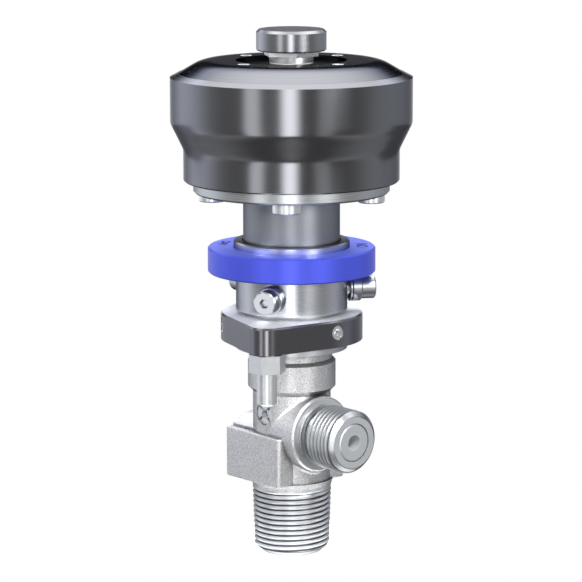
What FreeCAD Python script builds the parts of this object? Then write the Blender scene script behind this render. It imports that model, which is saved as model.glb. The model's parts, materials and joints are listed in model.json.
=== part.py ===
import FreeCAD, Part
import os
import re
import Sketcher

# Gas cylinder valve with an air-operated actuator, in millimetres. Z points up along the inlet
# thread, the outlet points along -Y, and the origin is the centre of the inlet's end face.

document = FreeCAD.newDocument("gas_cylinder_valve")

# Driving dimensions

DIMENSIONS = [
    # clearances
    ("running_gap", 0.05),
    ("fit_gap", 0.05),
    ("screw_tip_gap", 0.3),
    ("cut_overrun", 1),
    # inlet thread, a 3/4-14 taper
    ("inlet_end_radius", 10.35),
    ("inlet_start_radius", 13.05),
    ("inlet_chamfer_rise", 2.4),
    ("inlet_thread_top", 21.6),
    ("inlet_taper_ratio", 32),
    ("inlet_bore_radius", 4),
    ("inlet_bore_depth", 38),
    # forged block with its wrench flats
    ("thread_to_block", 3.8),
    ("root_flare_drop", 2),
    ("root_flare_inset", 0.6),
    ("outlet_over_block", 0.75),
    ("flats_across", 30),
    ("block_front", 10.6),
    ("block_back", 17.8),
    ("block_edge_round", 0.6),
    ("block_front_round", 1.3),
    ("block_back_round", 0.5),
    ("shoulder_radius", 20.8),
    ("shoulder_crown_rise", 4.65),
    ("shoulder_inset", 3),
    ("shoulder_front", 6),
    # column, collar and the seat chamber
    ("column_inset", 1.5),
    ("outlet_to_collar", 13.35),
    ("collar_low_chamfer", 1.7),
    ("collar_height", 10.5),
    ("collar_top_chamfer", 1.2),
    ("collar_to_top", 4.6),
    ("gland_wall", 2),
    ("gland_depth", 6.1),
    ("diaphragm_rim", 2.8),
    ("chamber_depth", 3),
    ("seat_pocket_radius", 4.5),
    ("seat_pocket_depth", 1.5),
    ("seat_bore_radius", 2.2),
    ("link_bore_radius", 1.6),
    ("link_bore_offset", 7),
    # outlet
    ("outlet_height", 43.65),
    ("boss_step", 0.4),
    ("boss_length", 16),
    ("boss_edge", 0.6),
    ("boss_blend", 2),
    ("land_radius", 10.4),
    ("land_length", 1),
    ("relief_radius", 9.3),
    ("relief_length", 1.9),
    ("outlet_thread_radius", 10.9),
    ("outlet_thread_length", 14),
    ("outlet_chamfer", 1.8),
    ("outlet_bore_radius", 2.7),
    ("insert_radius", 6.4),
    ("insert_gap", 0.25),
    ("insert_seat_length", 4),
    ("insert_length", 12),
    ("insert_edge", 0.4),
    # relief plug in the column
    ("plug_rise", 6.55),
    ("plug_radius", 3.9),
    ("plug_sink", 0.9),
    ("plug_depth", 5.2),
    ("plug_turn", 3),
    ("plug_pilot_radius", 1.2),
    ("plug_socket_across", 3),
    ("plug_socket_depth", 2),
    # diaphragm, pad and bonnet nut
    ("diaphragm_thickness", 0.4),
    ("pad_gap", 0.6),
    ("pad_bevel", 1),
    ("pad_thickness", 3.2),
    ("pad_bore_radius", 8),
    ("pad_bore_depth", 6.1),
    ("nut_rim_overhang", 4),
    ("nut_rim_thickness", 3.2),
    ("bonnet_radius", 17),
    ("bonnet_wall", 4),
    ("step_to_bonnet_top", 5.6),
    ("neck_socket_depth", 9),
    # lock plate
    ("plate_thickness", 9.3),
    ("plate_overhang", 7.5),
    ("plate_edge", 0.6),
    ("lug_reach", 3.9),
    ("lug_radius", 6.2),
    ("lug_turn", -57),
    ("plate_screw_rise", 5.2),
    ("plate_screw_radius", 2.4),
    ("plate_screw_sink", 0.4),
    ("plate_screw_bevel", 0.8),
    ("plate_screw_socket_across", 2.5),
    ("plate_screw_socket_depth", 2),
    # stop pin
    ("pin_radius", 3.5),
    ("pin_length", 10.4),
    ("pin_edge", 0.5),
    ("pin_hex_across", 11),
    ("pin_hex_height", 7.1),
    ("pin_washer_height", 0.4),
    ("pin_washer_inset", 0.2),
    ("pin_shank_radius", 2.9),
    ("pin_shank_length", 6.5),
    ("pin_hole_spare", 0.5),
    # sleeve, rollers and lock ring
    ("plate_to_sleeve", 1.15),
    ("sleeve_wall", 2.15),
    ("sleeve_skirt", 12.65),
    ("sleeve_head_step", 0.8),
    ("sleeve_head_height", 11.2),
    ("sleeve_edge", 0.4),
    ("roller_rise", 6.3),
    ("roller_turn", 61.5),
    ("roller_radius", 4.65),
    ("roller_length", 4),
    ("roller_gap", 0.95),
    ("roller_play", 0.15),
    ("roller_edge", 0.3),
    ("roller_flange", 0.5),
    ("roller_groove_width", 0.45),
    ("roller_groove_depth", 0.7),
    ("shoulder_screw_radius", 3),
    ("shoulder_sink", 0.4),
    ("shoulder_thread_radius", 2.4),
    ("shoulder_thread_reach", 3.5),
    ("shoulder_head_radius", 4),
    ("shoulder_head_length", 4.85),
    ("shoulder_head_edge", 0.4),
    ("shoulder_socket_across", 3),
    ("shoulder_socket_depth", 2),
    ("ring_width", 8.8),
    ("ring_lift", 0.2),
    ("ring_thickness", 8.7),
    ("ring_edge", 0.5),
    # neck and base plate
    ("neck_inset", 0.35),
    ("neck_tail", 8),
    ("neck_bore_radius", 8),
    ("neck_height", 22.2),
    ("neck_guide_drop", 6.2),
    ("neck_seal_drop", 1.7),
    ("base_inset", 3.35),
    ("base_flange_thickness", 4),
    ("base_spigot_height", 3.8),
    ("base_edge", 0.7),
    ("base_screw_count", 4),
    ("base_screw_inset", 6.4),
    ("base_screw_turn", -43.4),
    ("base_screw_radius", 2.4),
    ("base_screw_head_radius", 4.75),
    ("base_screw_head_height", 3.55),
    ("base_screw_edge", 0.4),
    ("base_screw_reach", 8),
    ("base_screw_socket_across", 4),
    ("base_screw_socket_depth", 2),
    ("base_hole_spare", 1),
    # drum housing
    ("drum_radius", 41.4),
    ("drum_waist_step", 4.35),
    ("drum_wall", 3.9),
    ("drum_floor_thickness", 11.8),
    ("drum_floor_inset", 6.3),
    ("drum_well_height", 5),
    ("drum_foot_wall", 6.05),
    ("drum_foot_height", 11),
    ("drum_foot_edge", 0.5),
    ("drum_waist_height", 8.9),
    ("drum_waist_round", 4),
    ("drum_wall_height", 15.6),
    ("drum_rim_height", 1.4),
    ("drum_rim_bevel", 2.85),
    # top cover, inlet plate
    ("cover_rim_land", 0.2),
    ("cover_seat_depth", 6.1),
    ("cover_rise", 4.3),
    ("cover_crown_inset", 7.3),
    ("cover_crown_round", 11),
    ("cover_screw_count", 4),
    ("inlet_plate_inset", 5.3),
    ("inlet_plate_thickness", 3.1),
    ("inlet_recess_inset", 3.3),
    ("inlet_recess_depth", 1),
    ("inlet_boss_wall", 5.75),
    ("inlet_boss_drop", 0.5),
    ("inlet_groove_rise", 1),
    ("port_shank_radius", 5.2),
    ("port_shank_length", 4),
    ("cover_screw_inset", 3.4),
    ("cover_screw_turn", 4.5),
    ("cover_screw_radius", 1.4),
    ("cover_screw_head_radius", 2),
    ("cover_screw_head_height", 1.4),
    ("cover_screw_length", 6),
    ("cover_screw_socket_across", 2),
    ("cover_screw_socket_depth", 0.8),
    # air fitting and cap
    ("fitting_neck_radius", 7.5),
    ("fitting_seal_thickness", 0.4),
    ("fitting_hex_across", 17),
    ("cover_to_hex", 1.5),
    ("fitting_hex_height", 1.7),
    ("fitting_bore_radius", 3),
    ("fitting_head_radius", 7.9),
    ("fitting_head_height", 5),
    ("cap_wall", 3.8),
    ("cap_gap", 0.3),
    ("cap_edge", 0.9),
    ("cap_low_edge", 0.5),
    ("cap_height", 7.3),
    ("cap_bore_depth", 5.4),
    # piston, spindle and springs
    ("spindle_radius", 5),
    ("spindle_tail_radius", 4),
    ("spindle_entry", 4),
    ("spindle_feed_radius", 1.5),
    ("spindle_feed_drop", 1.5),
    ("spindle_cross_radius", 1.2),
    ("spindle_cross_rise", 7.5),
    ("piston_rest_gap", 0.5),
    ("piston_web", 5),
    ("piston_height", 8.6),
    ("piston_rim_wall", 4),
    ("piston_hub_radius", 9),
    ("piston_hub_height", 7),
    ("piston_groove_bottom", 1.7),
    ("piston_groove_width", 2.4),
    ("piston_groove_depth", 2.2),
    ("piston_nut_across", 13),
    ("piston_nut_height", 3.6),
    ("spring_count", 4),
    ("spring_rim_gap", 1),
    ("spring_bore", 12.3),
    ("spring_thickness", 1.1),
    # static seals
    ("seal_width", 2),
    ("seal_height", 1.8),
]

# Heights and radii that follow from the sizes, each from the piece that it fits

FOLLOWING = [
    ("block_bottom", "inlet_thread_top + thread_to_block"),
    ("block_top", "outlet_height - outlet_over_block"),
    ("root_flare_radius", "flats_across / 2 - root_flare_inset"),
    ("column_radius", "flats_across / 2 - column_inset"),
    ("shoulder_axis_height", "block_top + shoulder_crown_rise - shoulder_radius"),
    ("shoulder_half_width", "flats_across / 2 - shoulder_inset"),
    ("collar_start", "outlet_height + outlet_to_collar"),
    ("collar_radius", "column_radius + collar_low_chamfer"),
    ("collar_top", "collar_start + collar_height"),
    ("body_top", "collar_top + collar_to_top"),
    ("gland_bore_radius", "collar_radius - collar_top_chamfer - gland_wall"),
    ("diaphragm_ledge", "body_top - gland_depth"),
    ("chamber_radius", "gland_bore_radius - diaphragm_rim"),
    ("chamber_floor", "diaphragm_ledge - chamber_depth"),
    ("seat_pocket_floor", "chamber_floor - seat_pocket_depth"),
    ("boss_radius", "column_radius - boss_step"),
    ("outlet_length", "boss_length + land_length + relief_length + outlet_thread_length"),
    ("plug_height", "outlet_height + plug_rise"),
    ("plug_face", "column_radius - plug_sink"),
    ("pad_radius", "pad_bore_radius - pad_gap"),
    ("pad_bore_top", "diaphragm_ledge + diaphragm_thickness + pad_bore_depth"),
    ("nut_rim_radius", "collar_radius + nut_rim_overhang"),
    ("plate_radius", "bonnet_radius + plate_overhang"),
    ("lug_offset", "plate_radius + lug_reach"),
    ("plate_screw_height", "body_top + nut_rim_thickness + plate_screw_rise"),
    ("plate_screw_length", "plate_overhang - screw_tip_gap - plate_screw_sink"),
    ("pin_bottom", "body_top + nut_rim_thickness - pin_washer_height - pin_hex_height - pin_length"),
    ("sleeve_bottom", "body_top + nut_rim_thickness + plate_thickness + plate_to_sleeve"),
    ("sleeve_radius", "bonnet_radius + fit_gap + sleeve_wall"),
    ("sleeve_step", "sleeve_bottom + sleeve_skirt"),
    ("sleeve_head_radius", "sleeve_radius + sleeve_head_step"),
    ("sleeve_top", "sleeve_step + sleeve_head_height"),
    ("roller_height", "sleeve_bottom + roller_rise"),
    ("shoulder_seat", "sleeve_radius - shoulder_sink"),
    ("shoulder_thread_end", "bonnet_radius - shoulder_thread_reach"),
    ("ring_radius", "sleeve_head_radius + running_gap + ring_width"),
    ("bonnet_top", "sleeve_step + step_to_bonnet_top"),
    ("neck_socket_floor", "bonnet_top - neck_socket_depth"),
    ("neck_radius", "bonnet_radius - neck_inset"),
    ("neck_thread_radius", "bonnet_radius - bonnet_wall - fit_gap"),
    ("base_bottom", "bonnet_top + neck_height"),
    ("neck_guide_bottom", "base_bottom - neck_guide_drop"),
    ("neck_seal_bottom", "base_bottom - neck_seal_drop"),
    ("drum_lower_radius", "drum_radius - drum_waist_step"),
    ("base_radius", "drum_lower_radius - base_inset"),
    ("base_screw_circle", "base_radius - base_screw_inset"),
    ("drum_floor_bore", "base_screw_circle - drum_floor_inset"),
    ("drum_well_radius", "drum_lower_radius - drum_foot_wall"),
    ("drum_floor_top", "base_bottom + base_flange_thickness + drum_floor_thickness"),
    ("drum_waist_bottom", "base_bottom + base_flange_thickness + drum_foot_height"),
    ("drum_waist_top", "drum_waist_bottom + drum_waist_height"),
    ("drum_wall_top", "drum_waist_top + drum_wall_height"),
    ("drum_rim_top", "drum_wall_top + drum_rim_height"),
    ("drum_rim_radius", "drum_radius - drum_rim_bevel"),
    ("piston_bore", "drum_radius - drum_wall"),
    ("piston_ledge", "drum_floor_top + drum_well_height"),
    ("cover_radius", "drum_rim_radius - cover_rim_land - fit_gap"),
    ("cover_bottom", "drum_rim_top - cover_seat_depth"),
    ("cover_top", "drum_rim_top + cover_rise"),
    ("cover_crown_radius", "cover_radius - cover_crown_inset"),
    ("inlet_plate_radius", "cover_crown_radius - inlet_plate_inset"),
    ("cover_screw_circle", "inlet_plate_radius - cover_screw_inset"),
    ("inlet_recess_radius", "cover_screw_circle - inlet_recess_inset"),
    ("inlet_boss_bottom", "cover_bottom - inlet_boss_drop"),
    ("feed_bore_radius", "spindle_tail_radius + running_gap"),
    ("inlet_boss_radius", "feed_bore_radius + inlet_boss_wall"),
    ("fitting_hex_bottom", "cover_top + cover_to_hex"),
    ("cap_bore_radius", "fitting_head_radius + cap_gap"),
    ("cap_radius", "cap_bore_radius + cap_wall"),
    ("cap_top", "fitting_hex_bottom + fitting_hex_height + cap_height"),
    ("spindle_top", "inlet_boss_bottom + spindle_entry"),
    ("spindle_cross_height", "base_bottom + base_flange_thickness + base_spigot_height"
     " + spindle_cross_rise"),
    ("spindle_feed_bottom", "spindle_cross_height - spindle_feed_drop"),
    ("piston_bottom", "piston_ledge + piston_rest_gap"),
    ("piston_rim_bore", "piston_bore - piston_rim_wall"),
    ("spring_radius", "piston_rim_bore - spring_rim_gap"),
]

sizes = document.addObject("Spreadsheet::Sheet", "sizes")
ROWS = [(alias, str(amount)) for alias, amount in DIMENSIONS]
ROWS += [(alias, "=" + formula) for alias, formula in FOLLOWING]
for row, (alias, content) in enumerate(ROWS, start=1):
    sizes.set("A%d" % row, alias)
    sizes.set("B%d" % row, content)
    sizes.setAlias("B%d" % row, alias)
document.recompute()

ALIASES = {alias for alias, content in ROWS}
WORD = re.compile(r"[a-z_]+")

# Sizes that several pieces share, written once in terms of the sheet

THREAD_TOP_RADIUS = ("(inlet_start_radius + (inlet_thread_top - inlet_chamfer_rise)"
                     " / inlet_taper_ratio)")
NUT_BOTTOM = "(diaphragm_ledge + diaphragm_thickness)"
PLATE_BOTTOM = "(body_top + nut_rim_thickness)"
PLATE_TOP = "(body_top + nut_rim_thickness + plate_thickness)"
RING_BOTTOM = "(sleeve_step + ring_lift)"
RING_TOP = "(sleeve_step + ring_lift + ring_thickness)"
DRUM_BOTTOM = "(base_bottom + base_flange_thickness)"
SPIGOT_TOP = "(base_bottom + base_flange_thickness + base_spigot_height)"
PLATE_SEAT = "(cover_top - inlet_plate_thickness)"
RECESS_FLOOR = "(cover_top - inlet_recess_depth)"
PORT_FLOOR = "(cover_top - inlet_recess_depth - port_shank_length)"
HEX_TOP = "(fitting_hex_bottom + fitting_hex_height)"
SPRING_SEAT = "(piston_bottom + piston_web)"
NUT_SEAT = "(piston_bottom + piston_hub_height)"
ROLLER_START = "(sleeve_radius + roller_gap)"
ROLLER_END = "(sleeve_radius + roller_gap + roller_length)"
HEAD_START = "(sleeve_radius + roller_gap + roller_length + roller_play)"
HEAD_END = ("(sleeve_radius + roller_gap + roller_length + roller_play"
            " + shoulder_head_length)")
COLUMN_SPAN = "(flats_across / 2)"
ROLLER_TURNS = ("(roller_turn - 120)", "roller_turn", "(roller_turn + 120)")


def bound(expression):
    """The expression with each alias read from the sheet."""
    return WORD.sub(lambda word: "sizes." + word[0] if word[0] in ALIASES else word[0], expression)


def number(expression):
    """The value that an expression has now."""
    return float(sizes.evalExpression(expression))


def origin_item(body, role):
    """One of a body's own planes or axes."""
    return next(item for item in body.Origin.OriginFeatures if item.Role == role)


def new_body(name):
    """An empty piece with the name of its file."""
    body = document.addObject("PartDesign::Body", name)
    body.Label = name
    return body


def new_sketch(body, role, height=None, turn=None):
    """A sketch on one of the body's planes, moved along its normal and turned about its Y axis."""
    sketch = body.newObject("Sketcher::SketchObject", body.Label + "_sketch")
    sketch.AttachmentSupport = [(origin_item(body, role), "")]
    sketch.MapMode = "FlatFace"
    if height:
        sketch.setExpression("AttachmentOffset.Base.z", bound(height))
    if turn:
        sketch.AttachmentOffset = FreeCAD.Placement(
            FreeCAD.Vector(), FreeCAD.Rotation(FreeCAD.Vector(0, 1, 0), 1))
        sketch.setExpression("AttachmentOffset.Rotation.Angle", bound(turn))
    return sketch


def place(sketch, item, end, across, up):
    """Hold one end of a line at bound distances from the sketch's origin."""
    for kind, expression in (("DistanceX", across), ("DistanceY", up)):
        rule = Sketcher.Constraint(kind, -1, 1, item, end, number(expression))
        index = sketch.addConstraint(rule)
        sketch.setExpression("Constraints[%d]" % index, bound(expression))


def draw_polygon(sketch, corners):
    """A closed outline whose corners are pairs of expressions."""
    points = [FreeCAD.Vector(number(across), number(up), 0) for across, up in corners]
    first = sketch.GeometryCount
    count = len(points)
    for index, start in enumerate(points):
        sketch.addGeometry(Part.LineSegment(start, points[(index + 1) % count]), False)
    for index in range(count):
        follower = first + (index + 1) % count
        sketch.addConstraint(Sketcher.Constraint("Coincident", first + index, 2, follower, 1))
    for index, (across, up) in enumerate(corners):
        place(sketch, first + index, 1, across, up)


def draw_axis(sketch, start, end):
    """A construction line to turn about, and its name."""
    ends = [FreeCAD.Vector(number(across), number(up), 0) for across, up in (start, end)]
    item = sketch.addGeometry(Part.LineSegment(*ends), True)
    place(sketch, item, 1, *start)
    place(sketch, item, 2, *end)
    return "Axis0"


def draw_circle(sketch, across, up, radius):
    """A circle at a bound place."""
    centre = FreeCAD.Vector(number(across), number(up), 0)
    circle = Part.Circle(centre, FreeCAD.Vector(0, 0, 1), number(radius))
    item = sketch.addGeometry(circle, False)
    place(sketch, item, 3, across, up)
    index = sketch.addConstraint(Sketcher.Constraint("Radius", item, number(radius)))
    sketch.setExpression("Constraints[%d]" % index, bound(radius))


def revolve(body, corners, cut=False, role="XZ_Plane", axis=None, turn=None):
    """Turn a closed outline about the vertical axis, or about an axis given by its ends."""
    sketch = new_sketch(body, role, turn=turn)
    draw_polygon(sketch, corners)
    axis_name = draw_axis(sketch, *axis) if axis else "V_Axis"
    kind = "Groove" if cut else "Revolution"
    feature = body.newObject("PartDesign::" + kind, body.Label + "_" + kind.lower())
    feature.Profile = sketch
    feature.ReferenceAxis = (sketch, [axis_name])
    feature.Angle = 360
    return feature


def extrude(body, sketch, length, cut=False, against=False):
    """Pad or pocket a sketch by a bound length, along its normal or against it."""
    kind = "Pocket" if cut else "Pad"
    feature = body.newObject("PartDesign::" + kind, body.Label + "_" + kind.lower())
    feature.Profile = sketch
    feature.setExpression("Length", bound(length))
    feature.Reversed = against
    return feature


def round_edges(body, radius, chosen, kind="Fillet"):
    """Round or bevel the edges of the body that the test picks."""
    document.recompute()
    edges = body.Shape.Edges
    names = ["Edge%d" % (index + 1) for index, edge in enumerate(edges) if chosen(edge)]
    feature = body.newObject("PartDesign::" + kind, body.Label + "_" + kind.lower())
    feature.Base = (body.Group[-2], names)
    feature.setExpression("Radius" if kind == "Fillet" else "Size", bound(radius))
    return feature


def circle_at(height, radius):
    """A test for a whole level circle at a height, with a radius, about the vertical axis."""
    def chosen(edge):
        box = edge.BoundBox
        level = abs(box.ZMin - number(height)) + abs(box.ZMax - number(height)) < 0.01
        return level and abs(box.XMax - number(radius)) < 0.01 and abs(box.XMin + box.XMax) < 0.01
    return chosen


def hexagon(across_flats, across="0", up="0"):
    """Corners of a hexagon, given across its flats."""
    corner = "(%s / sqrt(3))" % across_flats
    half = "(%s / 2)" % corner
    flat = "(%s / 2)" % across_flats
    steps = [(corner, "0"), (half, flat), ("-" + half, flat),
             ("-" + corner, "0"), ("-" + half, "-" + flat), (half, "-" + flat)]
    return [("%s + %s" % (across, x), "%s + %s" % (up, y)) for x, y in steps]


def between_walls(body, radius, other_radius):
    """A test for edges where round walls of two radii meet."""
    document.recompute()
    shape = body.Shape
    wanted = sorted([round(number(radius), 3), round(number(other_radius), 3)])

    def chosen(edge):
        walls = [face.Surface for face in shape.ancestorsOfType(edge, Part.Face)]
        found = [round(wall.Radius, 3) for wall in walls if isinstance(wall, Part.Cylinder)]
        return sorted(found) == wanted
    return chosen


def turn_body(body, angle):
    """Turn a body about the vertical axis by a bound angle in degrees."""
    body.Placement = FreeCAD.Placement(FreeCAD.Vector(), FreeCAD.Rotation(FreeCAD.Vector(0, 0, 1), 1))
    body.setExpression(".Placement.Rotation.Angle", bound(angle))


def group(name, bodies):
    """Like pieces that share one file, each still a solid of its own."""
    compound = document.addObject("Part::Compound", name)
    compound.Label = name
    compound.Links = bodies
    return compound


def ring_seal(name, inner, outer, bottom, top):
    """A seal of square section."""
    body = new_body(name)
    revolve(body, [(inner, bottom), (outer, bottom), (outer, top), (inner, top)])
    return body


# Valve body: a forging with its threads, bores and wrench flats

def make_valve_body():
    body = new_body("valve_body")
    block = new_sketch(body, "XY_Plane", "block_bottom")
    draw_polygon(block, [("-" + COLUMN_SPAN, "-block_front"), (COLUMN_SPAN, "-block_front"),
                         (COLUMN_SPAN, "block_back"), ("-" + COLUMN_SPAN, "block_back")])
    extrude(body, block, "block_top - block_bottom")

    def upright(edge):
        return edge.BoundBox.ZLength > number("block_top - block_bottom") - 0.01

    def front(edge):
        return upright(edge) and edge.BoundBox.YMax < number("0.1 - block_front")

    def back(edge):
        return upright(edge) and edge.BoundBox.YMin > number("block_back - 0.1")

    def rim(edge):
        return edge.BoundBox.ZLength < 0.01

    round_edges(body, "block_front_round", front)
    round_edges(body, "block_back_round", back)
    round_edges(body, "block_edge_round", rim)
    add_shoulder(body)
    add_column(body)
    add_outlet_boss(body)
    round_edges(body, "boss_blend", between_walls(body, "column_radius", "boss_radius"))
    cut_gas_way(body)
    cut_outlet(body)
    cut_relief_port(body)
    return body


def add_shoulder(body):
    """The arched shoulder behind the column, on the side away from the outlet."""
    sketch = new_sketch(body, "XZ_Plane")
    half = number("shoulder_half_width")
    radius = number("shoulder_radius")
    middle = number("shoulder_axis_height")
    spring = middle + (radius ** 2 - half ** 2) ** 0.5
    floor = number("block_bottom + block_edge_round")
    corners = [FreeCAD.Vector(-half, floor, 0), FreeCAD.Vector(half, floor, 0),
               FreeCAD.Vector(half, spring, 0), FreeCAD.Vector(-half, spring, 0)]
    for start, end in zip(corners, corners[1:]):
        sketch.addGeometry(Part.LineSegment(start, end), False)
    sketch.delGeometry(2)
    sketch.addGeometry(Part.LineSegment(corners[3], corners[0]), False)
    crown = FreeCAD.Vector(0, middle + radius, 0)
    sketch.addGeometry(Part.Arc(corners[2], crown, corners[3]), False)
    for first, second in ((0, 1), (2, 0)):
        sketch.addConstraint(Sketcher.Constraint("Coincident", first, 2, second, 1))
    sketch.addConstraint(Sketcher.Constraint("Coincident", 3, 1, 1, 2))
    sketch.addConstraint(Sketcher.Constraint("Coincident", 3, 2, 2, 1))
    sketch.addConstraint(Sketcher.Constraint("Vertical", 1))
    sketch.addConstraint(Sketcher.Constraint("Vertical", 2))
    place(sketch, 0, 1, "-shoulder_half_width", "block_bottom + block_edge_round")
    place(sketch, 0, 2, "shoulder_half_width", "block_bottom + block_edge_round")
    place(sketch, 3, 3, "0", "shoulder_axis_height")
    index = sketch.addConstraint(Sketcher.Constraint("Radius", 3, radius))
    sketch.setExpression("Constraints[%d]" % index, bound("shoulder_radius"))
    sketch.setExpression("AttachmentOffset.Base.z", bound("-shoulder_front"))
    extrude(body, sketch, "block_back - shoulder_front", against=True)

    def back_arch(edge):
        box = edge.BoundBox
        behind = box.YMin > number("block_back") - 0.01
        return behind and box.ZMax > number("block_top") and box.XLength > 1

    round_edges(body, "block_edge_round", back_arch)


def add_column(body):
    """Inlet thread at its crests, flare, column, collar and neck, turned about the vertical axis."""
    revolve(body, [
        ("0", "0"),
        ("inlet_end_radius", "0"),
        ("inlet_start_radius", "inlet_chamfer_rise"),
        (THREAD_TOP_RADIUS, "inlet_thread_top"),
        (THREAD_TOP_RADIUS, "block_bottom - root_flare_drop"),
        ("root_flare_radius", "block_bottom + block_edge_round"),
        ("column_radius", "block_bottom + block_edge_round"),
        ("column_radius", "collar_start"),
        ("collar_radius", "collar_start + collar_low_chamfer"),
        ("collar_radius", "collar_top"),
        ("collar_radius - collar_top_chamfer", "collar_top + collar_top_chamfer"),
        ("collar_radius - collar_top_chamfer", "body_top"),
        ("0", "body_top"),
    ])


def along_outlet(distance, radius):
    """A point of an outline that is turned about the outlet's axis."""
    return ("-(%s)" % distance, "outlet_height + %s" % radius)


def outlet_axis():
    """The outlet's axis, as the ends of a line."""
    return (along_outlet("0", "0"), along_outlet("outlet_length", "0"))


def add_outlet_boss(body):
    """Round boss, land, thread relief and outlet thread at its crests."""
    thread_start = "boss_length + land_length + relief_length"
    revolve(body, [
        along_outlet("0", "0"),
        along_outlet("0", "boss_radius"),
        along_outlet("boss_length - boss_edge", "boss_radius"),
        along_outlet("boss_length", "(boss_radius - boss_edge)"),
        along_outlet("boss_length", "land_radius"),
        along_outlet("boss_length + land_length", "land_radius"),
        along_outlet("boss_length + land_length", "relief_radius"),
        along_outlet(thread_start, "relief_radius"),
        along_outlet(thread_start, "outlet_thread_radius"),
        along_outlet("outlet_length - outlet_chamfer", "outlet_thread_radius"),
        along_outlet("outlet_length", "(outlet_thread_radius - outlet_chamfer)"),
        along_outlet("outlet_length", "0"),
    ], role="YZ_Plane", axis=outlet_axis())


def cut_gas_way(body):
    """Inlet bore, seat bore, chamber and the bore for the bonnet nut, then the link to the outlet."""
    revolve(body, [
        ("0", "0"),
        ("inlet_bore_radius", "0"),
        ("inlet_bore_radius", "inlet_bore_depth"),
        ("seat_bore_radius", "inlet_bore_depth + inlet_bore_radius - seat_bore_radius"),
        ("seat_bore_radius", "seat_pocket_floor"),
        ("seat_pocket_radius", "seat_pocket_floor"),
        ("seat_pocket_radius", "chamber_floor"),
        ("chamber_radius", "chamber_floor"),
        ("chamber_radius", "diaphragm_ledge"),
        ("gland_bore_radius", "diaphragm_ledge"),
        ("gland_bore_radius", "body_top"),
        ("0", "body_top"),
    ], cut=True)
    link = new_sketch(body, "XY_Plane", "chamber_floor")
    draw_circle(link, "0", "-link_bore_offset", "link_bore_radius")
    extrude(body, link, "chamber_floor - outlet_height", cut=True)


def cut_outlet(body):
    """Pocket of the outlet insert and the bore behind it."""
    pocket_floor = "outlet_length - insert_length"
    seat_end = "outlet_length - insert_length + insert_seat_length"
    bore_end = "link_bore_offset - outlet_bore_radius"
    revolve(body, [
        along_outlet(bore_end, "0"),
        along_outlet(bore_end, "outlet_bore_radius"),
        along_outlet(pocket_floor, "outlet_bore_radius"),
        along_outlet(pocket_floor, "(insert_radius + fit_gap)"),
        along_outlet(seat_end, "(insert_radius + fit_gap)"),
        along_outlet(seat_end, "(insert_radius + insert_gap)"),
        along_outlet("outlet_length", "(insert_radius + insert_gap)"),
        along_outlet("outlet_length", "0"),
    ], cut=True, role="YZ_Plane", axis=outlet_axis())


def cut_relief_port(body):
    """Side bore of the relief plug, with its pilot to the gas way."""
    revolve(body, [
        ("0", "plug_height"),
        ("0", "plug_height + plug_pilot_radius"),
        ("-(plug_face - plug_depth)", "plug_height + plug_pilot_radius"),
        ("-(plug_face - plug_depth)", "plug_height + plug_radius + fit_gap"),
        ("-column_radius - cut_overrun", "plug_height + plug_radius + fit_gap"),
        ("-column_radius - cut_overrun", "plug_height"),
    ], cut=True, axis=(("0", "plug_height"), ("-column_radius", "plug_height")), turn="plug_turn")


# Pieces that sit in the valve body

def make_outlet_insert():
    body = new_body("outlet_insert")
    revolve(body, [
        along_outlet("outlet_length - insert_length", "outlet_bore_radius"),
        along_outlet("outlet_length - insert_length", "insert_radius"),
        along_outlet("outlet_length - insert_edge", "insert_radius"),
        along_outlet("outlet_length", "(insert_radius - insert_edge)"),
        along_outlet("outlet_length", "outlet_bore_radius"),
    ], role="YZ_Plane", axis=outlet_axis())
    return body


def make_relief_plug():
    body = new_body("relief_plug")
    inner = "-(plug_face - plug_depth)"
    revolve(body, [
        (inner, "plug_height"),
        (inner, "plug_height + plug_radius"),
        ("-plug_face", "plug_height + plug_radius"),
        ("-plug_face", "plug_height"),
    ], axis=((inner, "plug_height"), ("-plug_face", "plug_height")))
    socket = new_sketch(body, "YZ_Plane", "-plug_face")
    draw_polygon(socket, hexagon("plug_socket_across", up="plug_height"))
    extrude(body, socket, "plug_socket_depth", cut=True, against=True)
    turn_body(body, "plug_turn")
    return body


def make_seat_ring():
    return ring_seal("seat_ring", "seat_bore_radius", "seat_pocket_radius - fit_gap",
                     "seat_pocket_floor", "diaphragm_ledge")


def make_diaphragm():
    body = new_body("diaphragm")
    radius = "gland_bore_radius - fit_gap"
    revolve(body, [("0", "diaphragm_ledge"), (radius, "diaphragm_ledge"),
                   (radius, NUT_BOTTOM), ("0", NUT_BOTTOM)])
    return body


def make_pressure_pad():
    body = new_body("pressure_pad")
    top = NUT_BOTTOM + " + pad_thickness"
    revolve(body, [("0", NUT_BOTTOM), ("pad_radius - pad_bevel", NUT_BOTTOM),
                   ("pad_radius", NUT_BOTTOM + " + pad_bevel"), ("pad_radius", top), ("0", top)])
    return body


def make_bonnet_nut():
    """Clamps the diaphragm, seats on the body with its rim and carries the plate and sleeve."""
    body = new_body("bonnet_nut")
    revolve(body, [
        ("pad_bore_radius", NUT_BOTTOM),
        ("gland_bore_radius - fit_gap", NUT_BOTTOM),
        ("gland_bore_radius - fit_gap", "body_top"),
        ("nut_rim_radius", "body_top"),
        ("nut_rim_radius", PLATE_BOTTOM),
        ("bonnet_radius", PLATE_BOTTOM),
        ("bonnet_radius", "bonnet_top"),
        ("neck_thread_radius + fit_gap", "bonnet_top"),
        ("neck_thread_radius + fit_gap", "neck_socket_floor"),
        ("spindle_radius + running_gap", "neck_socket_floor"),
        ("spindle_radius + running_gap", "pad_bore_top"),
        ("pad_bore_radius", "pad_bore_top"),
    ])
    for turn in ROLLER_TURNS:
        cut_radial_hole(body, turn, "roller_height", "shoulder_thread_radius + fit_gap",
                        "shoulder_thread_end", "bonnet_radius + cut_overrun")
    return body


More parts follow.
